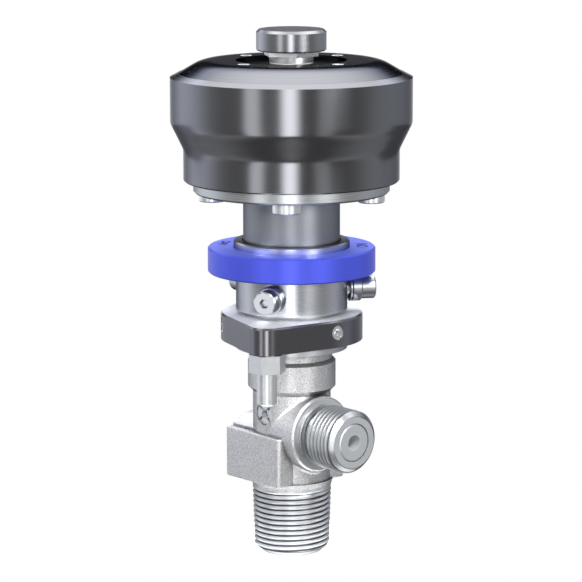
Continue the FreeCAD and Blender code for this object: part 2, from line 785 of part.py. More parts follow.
def cut_radial_hole(body, turn, height, radius, start, end):
    """Drill from the side, at a turn in degrees from the outlet's direction."""
    sketch = new_sketch(body, "XZ_Plane", turn=turn)
    draw_circle(sketch, "0", height, radius)
    for way, share in (("x", "sin"), ("z", "cos")):
        sketch.setExpression("AttachmentOffset.Base." + way,
                             bound("(%s) * %s((%s) * 1 deg)" % (end, share, turn)))
    extrude(body, sketch, "(%s) - (%s)" % (end, start), cut=True)


# Lock plate with its screws and the stop pin

def make_lock_plate():
    """A disc and a smaller corner circle joined by their outer tangents, bored for the bonnet."""
    body = new_body("lock_plate")
    sketch = new_sketch(body, "XY_Plane", PLATE_BOTTOM)
    draw_lug_outline(sketch)
    draw_circle(sketch, "0", "0", "bonnet_radius + fit_gap")
    extrude(body, sketch, "plate_thickness")

    def outer_rim(edge):
        box = edge.BoundBox
        flat = box.ZLength < 0.01 and box.ZMin > number(PLATE_TOP) - 0.01
        reach = max(abs(box.XMin), abs(box.XMax), abs(box.YMin), abs(box.YMax))
        return flat and reach > number("bonnet_radius + 1")

    round_edges(body, "plate_edge", outer_rim, kind="Chamfer")
    pin_hole = new_sketch(body, "XY_Plane", PLATE_BOTTOM)
    draw_circle(pin_hole, "lug_offset", "0", "pin_shank_radius + fit_gap")
    extrude(body, pin_hole, "pin_shank_length + pin_hole_spare", cut=True, against=True)
    for turn in (0, 120, 240):
        cut_radial_hole(body, "%d - lug_turn + 90" % turn, "plate_screw_height",
                        "plate_screw_radius + fit_gap", "bonnet_radius - cut_overrun",
                        "plate_radius + cut_overrun")
    turn_body(body, "lug_turn - 90")
    return body


def draw_lug_outline(sketch):
    """Outline of the plate with its lug along the sketch's first axis."""
    disc = number("plate_radius")
    lug = number("lug_radius")
    offset = number("lug_offset")
    cosine = (disc - lug) / offset
    sine = (1 - cosine ** 2) ** 0.5

    def on_circle(centre, radius, side):
        return FreeCAD.Vector(centre + radius * cosine, side * radius * sine, 0)

    far_side = FreeCAD.Vector(-disc, 0, 0)
    lug_tip = FreeCAD.Vector(offset + lug, 0, 0)
    sketch.addGeometry(Part.Arc(on_circle(0, disc, 1), far_side, on_circle(0, disc, -1)), False)
    sketch.addGeometry(Part.LineSegment(on_circle(0, disc, -1), on_circle(offset, lug, -1)), False)
    sketch.addGeometry(Part.Arc(on_circle(offset, lug, -1), lug_tip, on_circle(offset, lug, 1)), False)
    sketch.addGeometry(Part.LineSegment(on_circle(offset, lug, 1), on_circle(0, disc, 1)), False)
    for arc, arc_end, line, line_end in ((0, 2, 1, 1), (2, 1, 1, 2), (2, 2, 3, 1), (0, 1, 3, 2)):
        sketch.addConstraint(Sketcher.Constraint("Tangent", arc, arc_end, line, line_end))
    place(sketch, 0, 3, "0", "0")
    place(sketch, 2, 3, "lug_offset", "0")
    for arc, radius in ((0, "plate_radius"), (2, "lug_radius")):
        index = sketch.addConstraint(Sketcher.Constraint("Radius", arc, number(radius)))
        sketch.setExpression("Constraints[%d]" % index, bound(radius))


def make_plate_screws():
    """Grub screws that clamp the plate on the bonnet."""
    tip = "(bonnet_radius + screw_tip_gap)"
    end = "(bonnet_radius + screw_tip_gap + plate_screw_length)"
    height = "plate_screw_height"
    screws = []
    for index, turn in enumerate((0, 120, 240)):
        body = new_body("plate_screw_%d" % (index + 1))
        top = "plate_screw_height + plate_screw_radius"
        revolve(body, [
            (tip, height),
            (tip, top + " - plate_screw_bevel"),
            (tip + " + plate_screw_bevel", top),
            (end, top),
            (end, height),
        ], axis=((tip, height), (end, height)))
        socket = new_sketch(body, "YZ_Plane", end)
        draw_polygon(socket, hexagon("plate_screw_socket_across", up=height))
        extrude(body, socket, "plate_screw_socket_depth", cut=True)
        turn_body(body, "%d - 90" % turn)
        screws.append(body)
    return group("plate_screws", screws)


def make_stop_pin():
    """Pin with a hexagon under the lug and a threaded shank in it."""
    body = new_body("stop_pin")
    hex_bottom = "(%s - pin_washer_height - pin_hex_height)" % PLATE_BOTTOM
    washer_bottom = "(%s - pin_washer_height)" % PLATE_BOTTOM
    near = "lug_offset"
    hexagon_sketch = new_sketch(body, "XY_Plane", hex_bottom)
    draw_polygon(hexagon_sketch, hexagon("pin_hex_across", across=near))
    extrude(body, hexagon_sketch, "pin_hex_height")
    washer = "lug_offset + pin_hex_across / 2 - pin_washer_inset"
    revolve(body, [
        (near, "pin_bottom"),
        ("lug_offset + pin_radius - pin_edge", "pin_bottom"),
        ("lug_offset + pin_radius", "pin_bottom + pin_edge"),
        ("lug_offset + pin_radius", hex_bottom),
        (washer, hex_bottom),
        (washer, PLATE_BOTTOM),
        ("lug_offset + pin_shank_radius", PLATE_BOTTOM),
        ("lug_offset + pin_shank_radius", PLATE_BOTTOM + " + pin_shank_length"),
        (near, PLATE_BOTTOM + " + pin_shank_length"),
    ], axis=((near, "pin_bottom"), (near, washer_bottom)))
    turn_body(body, "lug_turn - 90")
    return body


# Sleeve, its roller studs and the lock ring

def make_lock_sleeve():
    body = new_body("lock_sleeve")
    bore = "bonnet_radius + fit_gap"
    revolve(body, [
        (bore, "sleeve_bottom"),
        ("sleeve_radius", "sleeve_bottom"),
        ("sleeve_radius", "sleeve_step"),
        ("sleeve_head_radius", "sleeve_step"),
        ("sleeve_head_radius", "sleeve_top - sleeve_edge"),
        ("sleeve_head_radius - sleeve_edge", "sleeve_top"),
        (bore, "sleeve_top"),
    ])
    for turn in ROLLER_TURNS:
        cut_radial_hole(body, turn, "roller_height", "shoulder_thread_radius + fit_gap",
                        "bonnet_radius - cut_overrun", "sleeve_radius + cut_overrun")
        cut_radial_hole(body, turn, "roller_height", "shoulder_screw_radius + fit_gap",
                        "shoulder_seat", "sleeve_radius + cut_overrun")
    return body


def make_roller_screws():
    """Shoulder screws that carry the rollers, with a socket in the head."""
    axis_height = "roller_height"

    def up(radius):
        return "roller_height + " + radius

    screws = []
    for index, turn in enumerate(ROLLER_TURNS):
        body = new_body("roller_screw_%d" % (index + 1))
        revolve(body, [
            ("shoulder_thread_end", axis_height),
            ("shoulder_thread_end", up("shoulder_thread_radius")),
            ("shoulder_seat", up("shoulder_thread_radius")),
            ("shoulder_seat", up("shoulder_screw_radius")),
            (HEAD_START, up("shoulder_screw_radius")),
            (HEAD_START, up("shoulder_head_radius")),
            (HEAD_END + " - shoulder_head_edge", up("shoulder_head_radius")),
            (HEAD_END, up("shoulder_head_radius - shoulder_head_edge")),
            (HEAD_END, axis_height),
        ], axis=(("shoulder_thread_end", axis_height), (HEAD_END, axis_height)))
        socket = new_sketch(body, "YZ_Plane", HEAD_END)
        draw_polygon(socket, hexagon("shoulder_socket_across", up=axis_height))
        extrude(body, socket, "shoulder_socket_depth", cut=True)
        turn_body(body, "%s - 90" % turn)
        screws.append(body)
    return group("roller_screws", screws)


def make_roller(name, turn):
    """Roller on a shoulder screw, with a narrow groove near the sleeve."""
    body = new_body(name)
    bore = "roller_height + shoulder_screw_radius + running_gap"
    rim = "roller_height + roller_radius"
    flange_end = ROLLER_START + " + roller_flange"
    groove_end = ROLLER_START + " + roller_flange + roller_groove_width"
    revolve(body, [
        (ROLLER_START, bore),
        (ROLLER_START, rim),
        (flange_end, rim),
        (flange_end, rim + " - roller_groove_depth"),
        (groove_end, rim + " - roller_groove_depth"),
        (groove_end, rim),
        (ROLLER_END + " - roller_edge", rim),
        (ROLLER_END, rim + " - roller_edge"),
        (ROLLER_END, bore),
    ], axis=((ROLLER_START, "roller_height"), (ROLLER_END, "roller_height")))
    turn_body(body, "%s - 90" % turn)
    return body


def make_lock_ring():
    body = new_body("lock_ring")
    bore = "sleeve_head_radius + running_gap"
    revolve(body, [
        (bore, RING_BOTTOM),
        ("ring_radius - ring_edge", RING_BOTTOM),
        ("ring_radius", RING_BOTTOM + " + ring_edge"),
        ("ring_radius", RING_TOP + " - ring_edge"),
        ("ring_radius - ring_edge", RING_TOP),
        (bore, RING_TOP),
    ])
    return body


# Neck, base plate and base screws

def make_actuator_neck():
    """Steel neck between the bonnet and the base plate, which also guides the spindle."""
    body = new_body("actuator_neck")
    seal_radius = "spindle_radius + running_gap + seal_width + fit_gap"
    revolve(body, [
        ("neck_bore_radius", "bonnet_top - neck_tail"),
        ("neck_thread_radius", "bonnet_top - neck_tail"),
        ("neck_thread_radius", "bonnet_top"),
        ("neck_radius", "bonnet_top"),
        ("neck_radius", "base_bottom"),
        ("neck_thread_radius", "base_bottom"),
        ("neck_thread_radius", SPIGOT_TOP),
        ("spindle_radius + running_gap", SPIGOT_TOP),
        ("spindle_radius + running_gap", "neck_seal_bottom + seal_height"),
        (seal_radius, "neck_seal_bottom + seal_height"),
        (seal_radius, "neck_seal_bottom"),
        ("spindle_radius + running_gap", "neck_seal_bottom"),
        ("spindle_radius + running_gap", "neck_guide_bottom"),
        ("neck_bore_radius", "neck_guide_bottom"),
    ])
    return body


def make_spindle_seal():
    return ring_seal("spindle_seal", "spindle_radius + running_gap",
                     "spindle_radius + running_gap + seal_width",
                     "neck_seal_bottom", "neck_seal_bottom + seal_height")


def make_base_plate():
    body = new_body("base_plate")
    groove = DRUM_BOTTOM + " + (base_spigot_height - seal_height) / 2"
    spigot = "drum_floor_bore - fit_gap"
    revolve(body, [
        ("neck_thread_radius + fit_gap", "base_bottom"),
        ("base_radius - base_edge", "base_bottom"),
        ("base_radius", "base_bottom + base_edge"),
        ("base_radius", DRUM_BOTTOM),
        (spigot, DRUM_BOTTOM),
        (spigot, groove),
        ("drum_floor_bore - seal_width", groove),
        ("drum_floor_bore - seal_width", groove + " + seal_height"),
        (spigot, groove + " + seal_height"),
        (spigot, SPIGOT_TOP),
        ("neck_thread_radius + fit_gap", SPIGOT_TOP),
    ])
    holes = new_sketch(body, "XY_Plane", DRUM_BOTTOM)
    draw_circle(holes, "base_screw_circle", "0", "base_screw_radius + fit_gap")
    hole = extrude(body, holes, "base_flange_thickness", cut=True)
    repeat_round(body, hole, "base_screw_count")
    turn_body(body, "base_screw_turn - 90")
    return body


def repeat_round(body, feature, count):
    """Copy a feature round the vertical axis."""
    pattern = body.newObject("PartDesign::PolarPattern", body.Label + "_pattern")
    pattern.Originals = [feature]
    pattern.Axis = (origin_item(body, "Z_Axis"), [""])
    pattern.Angle = 360
    pattern.setExpression("Occurrences", bound(count))
    body.Tip = pattern


def make_base_seal():
    bottom = DRUM_BOTTOM + " + (base_spigot_height - seal_height) / 2"
    return ring_seal("base_seal", "drum_floor_bore - seal_width + fit_gap",
                     "drum_floor_bore - fit_gap", bottom, bottom + " + seal_height")


def make_base_screws():
    """Cap screws that hold the base plate to the drum."""
    screws = []
    near = "base_screw_circle"
    head = "base_bottom - base_screw_head_height"
    shank_end = DRUM_BOTTOM + " + base_screw_reach"
    for index in range(int(number("base_screw_count"))):
        body = new_body("base_screw_%d" % (index + 1))
        revolve(body, [
            (near, head),
            ("base_screw_circle + base_screw_head_radius - base_screw_edge", head),
            ("base_screw_circle + base_screw_head_radius", head + " + base_screw_edge"),
            ("base_screw_circle + base_screw_head_radius", "base_bottom"),
            ("base_screw_circle + base_screw_radius", "base_bottom"),
            ("base_screw_circle + base_screw_radius", shank_end),
            (near, shank_end),
        ], axis=((near, head), (near, shank_end)))
        socket = new_sketch(body, "XY_Plane", head)
        draw_polygon(socket, hexagon("base_screw_socket_across", across=near))
        extrude(body, socket, "base_screw_socket_depth", cut=True, against=True)
        turn_body(body, "base_screw_turn - 90 + 360 / base_screw_count * %d" % index)
        screws.append(body)
    return group("base_screws", screws)


# Drum housing, cover and inlet plate

def make_drum_housing():
    """Turned drum with a narrow foot, a waist and a wide cylinder for the piston."""
    body = new_body("drum_housing")
    revolve(body, [
        ("drum_floor_bore", DRUM_BOTTOM),
        ("drum_lower_radius - drum_foot_edge", DRUM_BOTTOM),
        ("drum_lower_radius", DRUM_BOTTOM + " + drum_foot_edge"),
        ("drum_lower_radius", "drum_waist_bottom"),
        ("drum_radius", "drum_waist_top"),
        ("drum_radius", "drum_wall_top"),
        ("drum_rim_radius", "drum_rim_top"),
        ("cover_radius + fit_gap", "drum_rim_top"),
        ("cover_radius + fit_gap", "cover_bottom"),
        ("piston_bore", "cover_bottom"),
        ("piston_bore", "piston_ledge"),
        ("drum_well_radius", "piston_ledge"),
        ("drum_well_radius", "drum_floor_top"),
        ("drum_floor_bore", "drum_floor_top"),
    ])

    def waist(edge):
        low = circle_at("drum_waist_bottom", "drum_lower_radius")(edge)
        return low or circle_at("drum_waist_top", "drum_radius")(edge)

    round_edges(body, "drum_waist_round", waist)
    holes = new_sketch(body, "XY_Plane", DRUM_BOTTOM)
    draw_circle(holes, "base_screw_circle", "0", "base_screw_radius + fit_gap")
    hole = extrude(body, holes, "base_screw_reach + base_hole_spare", cut=True, against=True)
    repeat_round(body, hole, "base_screw_count")
    turn_body(body, "base_screw_turn - 90")
    return body


def make_top_cover():
    """Domed cover with a pocket for the inlet plate."""
    body = new_body("top_cover")
    pocket = "inlet_plate_radius + fit_gap"
    revolve(body, [
        ("inlet_boss_radius + fit_gap", "cover_bottom"),
        ("cover_radius", "cover_bottom"),
        ("cover_radius", "drum_rim_top"),
        ("cover_crown_radius", "cover_top"),
        (pocket, "cover_top"),
        (pocket, PLATE_SEAT),
        ("inlet_boss_radius + fit_gap", PLATE_SEAT),
    ])
    round_edges(body, "cover_crown_round", circle_at("cover_top", "cover_crown_radius"))
    holes = new_sketch(body, "XY_Plane", PLATE_SEAT)
    draw_circle(holes, "cover_screw_circle", "0", "cover_screw_radius + fit_gap")
    hole = extrude(body, holes, "cover_screw_length", cut=True)
    repeat_round(body, hole, "cover_screw_count")
    turn_body(body, "cover_screw_turn - 90")
    return body


def make_inlet_plate():
    """Disc that carries the air fitting, with a boss whose bore feeds the spindle."""
    body = new_body("inlet_plate")
    groove_bottom = "inlet_boss_bottom + inlet_groove_rise"
    groove_top = "inlet_boss_bottom + inlet_groove_rise + seal_height"
    groove_radius = "feed_bore_radius + seal_width"
    revolve(body, [
        ("feed_bore_radius", "inlet_boss_bottom"),
        ("inlet_boss_radius", "inlet_boss_bottom"),
        ("inlet_boss_radius", PLATE_SEAT),
        ("inlet_plate_radius", PLATE_SEAT),
        ("inlet_plate_radius", "cover_top"),
        ("inlet_recess_radius", "cover_top"),
        ("inlet_recess_radius", RECESS_FLOOR),
        ("port_shank_radius", RECESS_FLOOR),
        ("port_shank_radius", PORT_FLOOR),
        ("feed_bore_radius", PORT_FLOOR),
        ("feed_bore_radius", groove_top),
        (groove_radius, groove_top),
        (groove_radius, groove_bottom),
        ("feed_bore_radius", groove_bottom),
    ])
    sinks = new_sketch(body, "XZ_Plane")
    wide = "cover_screw_circle + cover_screw_head_radius + fit_gap"
    draw_polygon(sinks, [
        ("cover_screw_circle", PLATE_SEAT),
        ("cover_screw_circle + cover_screw_radius + fit_gap", PLATE_SEAT),
        ("cover_screw_circle + cover_screw_radius + fit_gap", "cover_top - cover_screw_head_height"),
        (wide, "cover_top - cover_screw_head_height"),
        (wide, "cover_top"),
        ("cover_screw_circle", "cover_top"),
    ])
    axis = draw_axis(sinks, ("cover_screw_circle", PLATE_SEAT), ("cover_screw_circle", "cover_top"))
    sink = body.newObject("PartDesign::Groove", "inlet_plate_sink")
    sink.Profile = sinks
    sink.ReferenceAxis = (sinks, [axis])
    sink.Angle = 360
    repeat_round(body, sink, "cover_screw_count")
    turn_body(body, "cover_screw_turn - 90")
    return body


def make_cover_screws():
    screws = []
    near = "cover_screw_circle"
    head_bottom = "cover_top - cover_screw_head_height"
    for index in range(int(number("cover_screw_count"))):
        body = new_body("cover_screw_%d" % (index + 1))
        revolve(body, [
            (near, "cover_top - cover_screw_head_height - cover_screw_length"),
            (near + " + cover_screw_radius",
             "cover_top - cover_screw_head_height - cover_screw_length"),
            (near + " + cover_screw_radius", head_bottom),
            (near + " + cover_screw_head_radius", head_bottom),
            (near + " + cover_screw_head_radius", "cover_top"),
            (near, "cover_top"),
        ], axis=((near, head_bottom), (near, "cover_top")))
        socket = new_sketch(body, "XY_Plane", "cover_top")
        draw_polygon(socket, hexagon("cover_screw_socket_across", across=near))
        extrude(body, socket, "cover_screw_socket_depth", cut=True)
        turn_body(body, "cover_screw_turn - 90 + 360 / cover_screw_count * %d" % index)
        screws.append(body)
    return group("cover_screws", screws)


def make_cover_seal():
    """Ring between the cover and the step above the piston's cylinder."""
    return ring_seal("cover_seal", "piston_bore - seal_width", "piston_bore - fit_gap",
                     "cover_bottom - seal_height", "cover_bottom")


def make_feed_seal():
    bottom = "inlet_boss_bottom + inlet_groove_rise"
    return ring_seal("feed_seal", "feed_bore_radius", "feed_bore_radius + seal_width - fit_gap",
                     bottom, bottom + " + seal_height")


# Air fitting and its cap

def make_air_fitting():
    body = new_body("air_fitting")
    neck_bottom = "(%s + fitting_seal_thickness)" % RECESS_FLOOR
    head_top = "(%s + fitting_head_height)" % HEX_TOP
    hexagon_sketch = new_sketch(body, "XY_Plane", "fitting_hex_bottom")
    draw_polygon(hexagon_sketch, hexagon("fitting_hex_across"))
    extrude(body, hexagon_sketch, "fitting_hex_height")
    revolve(body, [
        ("fitting_bore_radius", PORT_FLOOR),
        ("port_shank_radius - fit_gap", PORT_FLOOR),
        ("port_shank_radius - fit_gap", neck_bottom),
        ("fitting_neck_radius", neck_bottom),
        ("fitting_neck_radius", HEX_TOP),
        ("fitting_head_radius", HEX_TOP),
        ("fitting_head_radius", head_top),
        ("fitting_bore_radius", head_top),
    ])
    bore = new_sketch(body, "XY_Plane", head_top)
    draw_circle(bore, "0", "0", "fitting_bore_radius")
    extrude(body, bore, "%s - %s" % (head_top, PORT_FLOOR), cut=True)
    return body


def make_fitting_seal():
    return ring_seal("fitting_seal", "port_shank_radius", "fitting_neck_radius - 0.1",
                     RECESS_FLOOR, RECESS_FLOOR + " + fitting_seal_thickness")


def make_air_cap():
    body = new_body("air_cap")
    revolve(body, [
        ("cap_bore_radius", HEX_TOP),
        ("cap_radius - cap_low_edge", HEX_TOP),
        ("cap_radius", HEX_TOP + " + cap_low_edge"),
        ("cap_radius", "cap_top - cap_edge"),
        ("cap_radius - cap_edge", "cap_top"),
        ("0", "cap_top"),
        ("0", HEX_TOP + " + cap_bore_depth"),
        ("cap_bore_radius", HEX_TOP + " + cap_bore_depth"),
    ])
    return body


# Spindle, piston and springs

def make_spindle():
    """Rod from the pad to the piston; air goes down its middle and out of a cross bore."""
    body = new_body("spindle")
    bottom = NUT_BOTTOM + " + pad_thickness"
    revolve(body, [
        ("0", bottom),
        ("spindle_radius", bottom),
        ("spindle_radius", "piston_bottom"),
        ("spindle_tail_radius", "piston_bottom"),
        ("spindle_tail_radius", "spindle_top"),
        ("spindle_feed_radius", "spindle_top"),
        ("spindle_feed_radius", "spindle_feed_bottom"),
        ("0", "spindle_feed_bottom"),
    ])
    cross = new_sketch(body, "XZ_Plane")
    draw_circle(cross, "0", "spindle_cross_height", "spindle_cross_radius")
    drilled = extrude(body, cross, "4 * spindle_radius", cut=True)
    drilled.SideType = "Symmetric"
    return body


def make_piston():
    body = new_body("piston")
    rim = "piston_bore - running_gap"
    groove = "piston_bottom + piston_groove_bottom"
    bore = "spindle_tail_radius + fit_gap"
    revolve(body, [
        (bore, "piston_bottom"),
        (rim, "piston_bottom"),
        (rim, groove),
        (rim + " - piston_groove_depth", groove),
        (rim + " - piston_groove_depth", groove + " + piston_groove_width"),
        (rim, groove + " + piston_groove_width"),
        (rim, "piston_bottom + piston_height"),
        ("piston_rim_bore", "piston_bottom + piston_height"),
        ("piston_rim_bore", SPRING_SEAT),
        ("piston_hub_radius", SPRING_SEAT),
        ("piston_hub_radius", NUT_SEAT),
        (bore, NUT_SEAT),
    ])
    return body


def make_piston_seal():
    groove = "piston_bottom + piston_groove_bottom"
    inner = "piston_bore - running_gap - piston_groove_depth + fit_gap"
    return ring_seal("piston_seal", inner, "piston_bore - running_gap",
                     groove, groove + " + piston_groove_width")


def make_piston_nut():
    body = new_body("piston_nut")
    sketch = new_sketch(body, "XY_Plane", NUT_SEAT)
    draw_polygon(sketch, hexagon("piston_nut_across"))
    draw_circle(sketch, "0", "0", "spindle_tail_radius + fit_gap")
    extrude(body, sketch, "piston_nut_height")
    return body


def make_closing_springs():
    """Disc springs in alternating pairs between the piston and the cover."""
    pitch = "((cover_bottom - %s) / spring_count)" % SPRING_SEAT
    springs = []
    for index in range(int(number("spring_count"))):
        body = new_body("disc_spring_%d" % (index + 1))
        low = "%s + %d * %s" % (SPRING_SEAT, index, pitch)
        high = "%s + %s" % (low, pitch)
        inner, outer = ("spring_bore", "spring_radius")
        if index % 2:
            inner, outer = outer, inner
        revolve(body, [
            (outer, low),
            (outer, low + " + spring_thickness"),
            (inner, high),
            (inner, high + " - spring_thickness"),
        ])
        springs.append(body)
    return group("closing_springs", springs)


pieces = [
    make_valve_body(),
    make_outlet_insert(),
    make_relief_plug(),
    make_seat_ring(),
    make_diaphragm(),
    make_pressure_pad(),
    make_bonnet_nut(),
    make_lock_plate(),
    make_plate_screws(),
    make_stop_pin(),
    make_lock_sleeve(),
    make_roller_screws(),
    make_roller("roller_left", ROLLER_TURNS[0]),
    make_roller("roller_right", ROLLER_TURNS[1]),
    make_roller("roller_rear", ROLLER_TURNS[2]),
    make_lock_ring(),
    make_actuator_neck(),
    make_spindle_seal(),
    make_base_plate(),
    make_base_seal(),
    make_base_screws(),
    make_drum_housing(),
    make_top_cover(),
    make_inlet_plate(),
    make_cover_screws(),
    make_cover_seal(),
    make_feed_seal(),
    make_air_fitting(),
    make_fitting_seal(),
    make_air_cap(),
    make_spindle(),
    make_piston(),
    make_piston_seal(),
    make_piston_nut(),
    make_closing_springs(),
]

document.recompute()

# Every object has to be sound before any file is written

for item in document.Objects:
    if "Invalid" in item.State or "Error" in item.State:
        raise RuntimeError("%s did not build: %s" % (item.Label, item.State))

for piece in pieces:
    if piece.Shape.isNull() or not piece.Shape.isValid():
        raise RuntimeError("%s has no sound shape" % piece.Label)

os.makedirs("parts", exist_ok=True)
for piece in pieces:
    piece.Shape.exportStep("parts/%s.step" % piece.Label)
    print(piece.Label, len(piece.Shape.Solids), round(piece.Shape.Volume, 1))
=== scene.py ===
# %% [markdown]
# # Gas cylinder valve with an air-operated actuator
#
# This file dresses a finished CAD model for a studio picture. The CAD pieces keep their places and
# sizes. Here they get finishes, and a few get detail that is too fine for the CAD model: the turns of
# both threads, the tool slots of the relief plug, the words on the lock ring and the true length of
# the stop pin's hexagon.

# %% Load the frame
import json
import math

import bmesh
import bpy
from mathutils import Matrix, Vector

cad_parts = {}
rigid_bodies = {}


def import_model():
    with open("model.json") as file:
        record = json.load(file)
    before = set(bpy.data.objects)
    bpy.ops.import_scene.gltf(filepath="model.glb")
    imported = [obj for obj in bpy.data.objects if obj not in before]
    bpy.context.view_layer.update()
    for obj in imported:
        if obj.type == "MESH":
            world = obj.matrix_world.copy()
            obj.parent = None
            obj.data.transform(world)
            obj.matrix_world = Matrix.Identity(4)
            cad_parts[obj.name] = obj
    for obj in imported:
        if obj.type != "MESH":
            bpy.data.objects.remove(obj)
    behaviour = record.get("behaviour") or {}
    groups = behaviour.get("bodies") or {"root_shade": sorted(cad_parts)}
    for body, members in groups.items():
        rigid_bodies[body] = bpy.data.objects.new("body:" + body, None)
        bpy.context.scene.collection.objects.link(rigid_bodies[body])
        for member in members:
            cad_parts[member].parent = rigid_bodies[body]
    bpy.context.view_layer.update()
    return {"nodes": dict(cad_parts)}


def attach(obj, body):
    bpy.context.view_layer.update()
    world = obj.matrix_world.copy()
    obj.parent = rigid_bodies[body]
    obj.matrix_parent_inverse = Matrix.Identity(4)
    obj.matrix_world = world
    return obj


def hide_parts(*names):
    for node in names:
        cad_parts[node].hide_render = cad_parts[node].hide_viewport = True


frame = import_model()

MM = 0.001
nodes = frame["nodes"]
print("CAD nodes:", len(nodes))

# %% [markdown]
# ## New objects
#
# Two short functions put every new mesh, lamp and camera into the scene. A third one turns two angles
# into a direction, how far it is turned round the valve from the outlet and how far it is raised.

# %% New objects
def add_object(name, data):
    """Put a new object with this data into the scene."""
    thing = bpy.data.objects.new(name, data)
    bpy.context.scene.collection.objects.link(thing)
    return thing


def add_mesh(name, mesh):
    """Turn a finished bmesh into an object of the scene."""
    data = bpy.data.meshes.new(name)
    mesh.to_mesh(data)
    mesh.free()
    return add_object(name, data)


def direction(turn, rise):
    """The way out from the valve, turned from the outlet's side and raised, both in radians."""
    return Vector((
        math.sin(turn) * math.cos(rise),
        -math.cos(turn) * math.cos(rise),
        math.sin(rise),
    ))


# %% [markdown]
# ## Camera
#
# The photograph was taken with a long lens from about a metre away, slightly above the outlet and
# turned 40 degrees from it. A long lens keeps the drum and the thread in nearly the same scale.

# %% Camera
VIEW_TURN = math.radians(-40.0)
VIEW_RISE = math.radians(10.205)
VIEW_ROLL = math.radians(-0.075)
VIEW_DISTANCE = 0.985
VIEW_CENTRE = Vector((0, 0, 91.5 * MM))
IMAGE_WIDTH = 582
FOCAL_PIXELS = 2855.2
SHIFT_PIXELS = -0.65


def aim(thing, way, distance):
    """Place a camera or a lamp out in that direction and point it at the valve's middle."""
    thing.location = VIEW_CENTRE + distance * way
    thing.rotation_euler = (-way).to_track_quat("-Z", "Y").to_euler()


lens = bpy.data.cameras.new("studio_camera")
lens.sensor_width = 36
lens.lens = FOCAL_PIXELS / IMAGE_WIDTH * lens.sensor_width
lens.clip_start = 0.01
lens.shift_x = SHIFT_PIXELS / IMAGE_WIDTH
camera = add_object("studio_camera", lens)
aim(camera, direction(VIEW_TURN, VIEW_RISE), VIEW_DISTANCE)
camera.rotation_euler.rotate_axis("Z", VIEW_ROLL)
bpy.context.scene.camera = camera
bpy.context.scene.view_settings.view_transform = "Standard"
print("Focal length in mm:", round(lens.lens, 1))

# %% [markdown]
# ## Sizes of the threads
#
# Both threads have 14 turns an inch. The inlet thread is tapered, 1 in 16 on the diameter and so 1 in
# 32 on the radius, and it stands upright from height 0. The outlet thread is parallel and lies along
# the Y axis. The sizes are in millimetres and match the CAD model. They come first, because the
# finish of a thread has to know where its grooves are.

# %% Sizes of the threads
PITCH = 25.4 / 14
INLET_TAPER = 1 / 32
INLET_TOP = 23.4
INLET_TOP_RADIUS = 13.65
INLET_CHAMFER = 2.4
INLET_END_RADIUS = 10.35
INLET_START_RADIUS = 13.05
INLET_GROOVE = 0.85
OUTLET_HEIGHT = 43.65
OUTLET_START = 18.9
OUTLET_END = 32.9
OUTLET_CHAMFER = 1.8
OUTLET_RADIUS = 10.9
OUTLET_RELIEF_RADIUS = 9.3
OUTLET_GROOVE = 1.05
OUTLET_BORE = 2.7
print("Pitch of both threads in mm:", round(PITCH, 3))

# %% [markdown]
# ## Colours and nodes
#
# Colours are easiest to read as the hex values that a picture program shows, but shaders work with
# linear light, so one function converts them. A second small function adds a shader node, sets its
# properties and links its sockets. The others build on it, which keeps each material short.

# %% Colour and node helpers
def linear(hex_colour):
    """Linear RGBA of an sRGB hex colour such as #5a66f0."""
    channels = [int(hex_colour[start:start + 2], 16) / 255 for start in (1, 3, 5)]
    return [c / 12.92 if c <= 0.04045 else ((c + 0.055) / 1.055) ** 2.4 for c in channels] + [1]


def add_node(tree, kind, inputs=None, **settings):
    """Add a node; an input that is a socket gets linked, any other value gets set."""
    node = tree.nodes.new(kind)
    for name, value in settings.items():
        setattr(node, name, value)
    for name, value in (inputs or {}).items():
        if isinstance(value, bpy.types.NodeSocket):
            tree.links.new(value, node.inputs[name])
        else:
            node.inputs[name].default_value = value
    return node


def compute(tree, operation, *values):
    """One step of arithmetic on sockets and numbers."""
    node = add_node(tree, "ShaderNodeMath", dict(enumerate(values)), operation=operation)
    return node.outputs[0]


def spread(tree, fraction, low, high):
    """Map a pattern from 0 to 1 onto a range of values."""
    node = add_node(tree, "ShaderNodeMapRange",
                    {"Value": fraction, "To Min": low, "To Max": high})
    return node.outputs["Result"]


def gate(tree, value, start, full):
    """Rise from 0 where the value is at the start to 1 where it is full, and stay there."""
    node = add_node(tree, "ShaderNodeMapRange",
                    {"Value": value, "From Min": start, "From Max": full})
    return node.outputs["Result"]


def off_middle(tree, value, low, high):
    """How far a value is from the middle of a range."""
    offset = compute(tree, "SUBTRACT", value, (low + high) / 2)
    return compute(tree, "ABSOLUTE", offset)


def coordinates(tree):
    """Where a point is in its object, as X, Y and Z."""
    place = add_node(tree, "ShaderNodeTexCoord").outputs["Object"]
    return add_node(tree, "ShaderNodeSeparateXYZ", {"Vector": place}).outputs


def round_axis(tree, axis):
    """How far a point is along the upright axis Z or the outlet's axis Y, and how far from it."""
    parts = coordinates(tree)
    second = parts["Y"]
    if axis == "Y":
        second = compute(tree, "SUBTRACT", parts["Z"], OUTLET_HEIGHT * MM)
    flat = add_node(tree, "ShaderNodeCombineXYZ", {"X": parts["X"], "Y": second})
    radius = add_node(tree, "ShaderNodeVectorMath", {0: flat.outputs[0]}, operation="LENGTH")
    return parts[axis], radius.outputs["Value"]


def new_finish(name, colour, metallic, roughness):
    """A material with one principled shader, its tree and the shader."""
    material = bpy.data.materials.new(name)
    material.use_nodes = True
    tree = material.node_tree
    shader = tree.nodes["Principled BSDF"]
    shader.inputs["Base Color"].default_value = linear(colour)
    shader.inputs["Metallic"].default_value = metallic
    shader.inputs["Roughness"].default_value = roughness
    return material, tree, shader


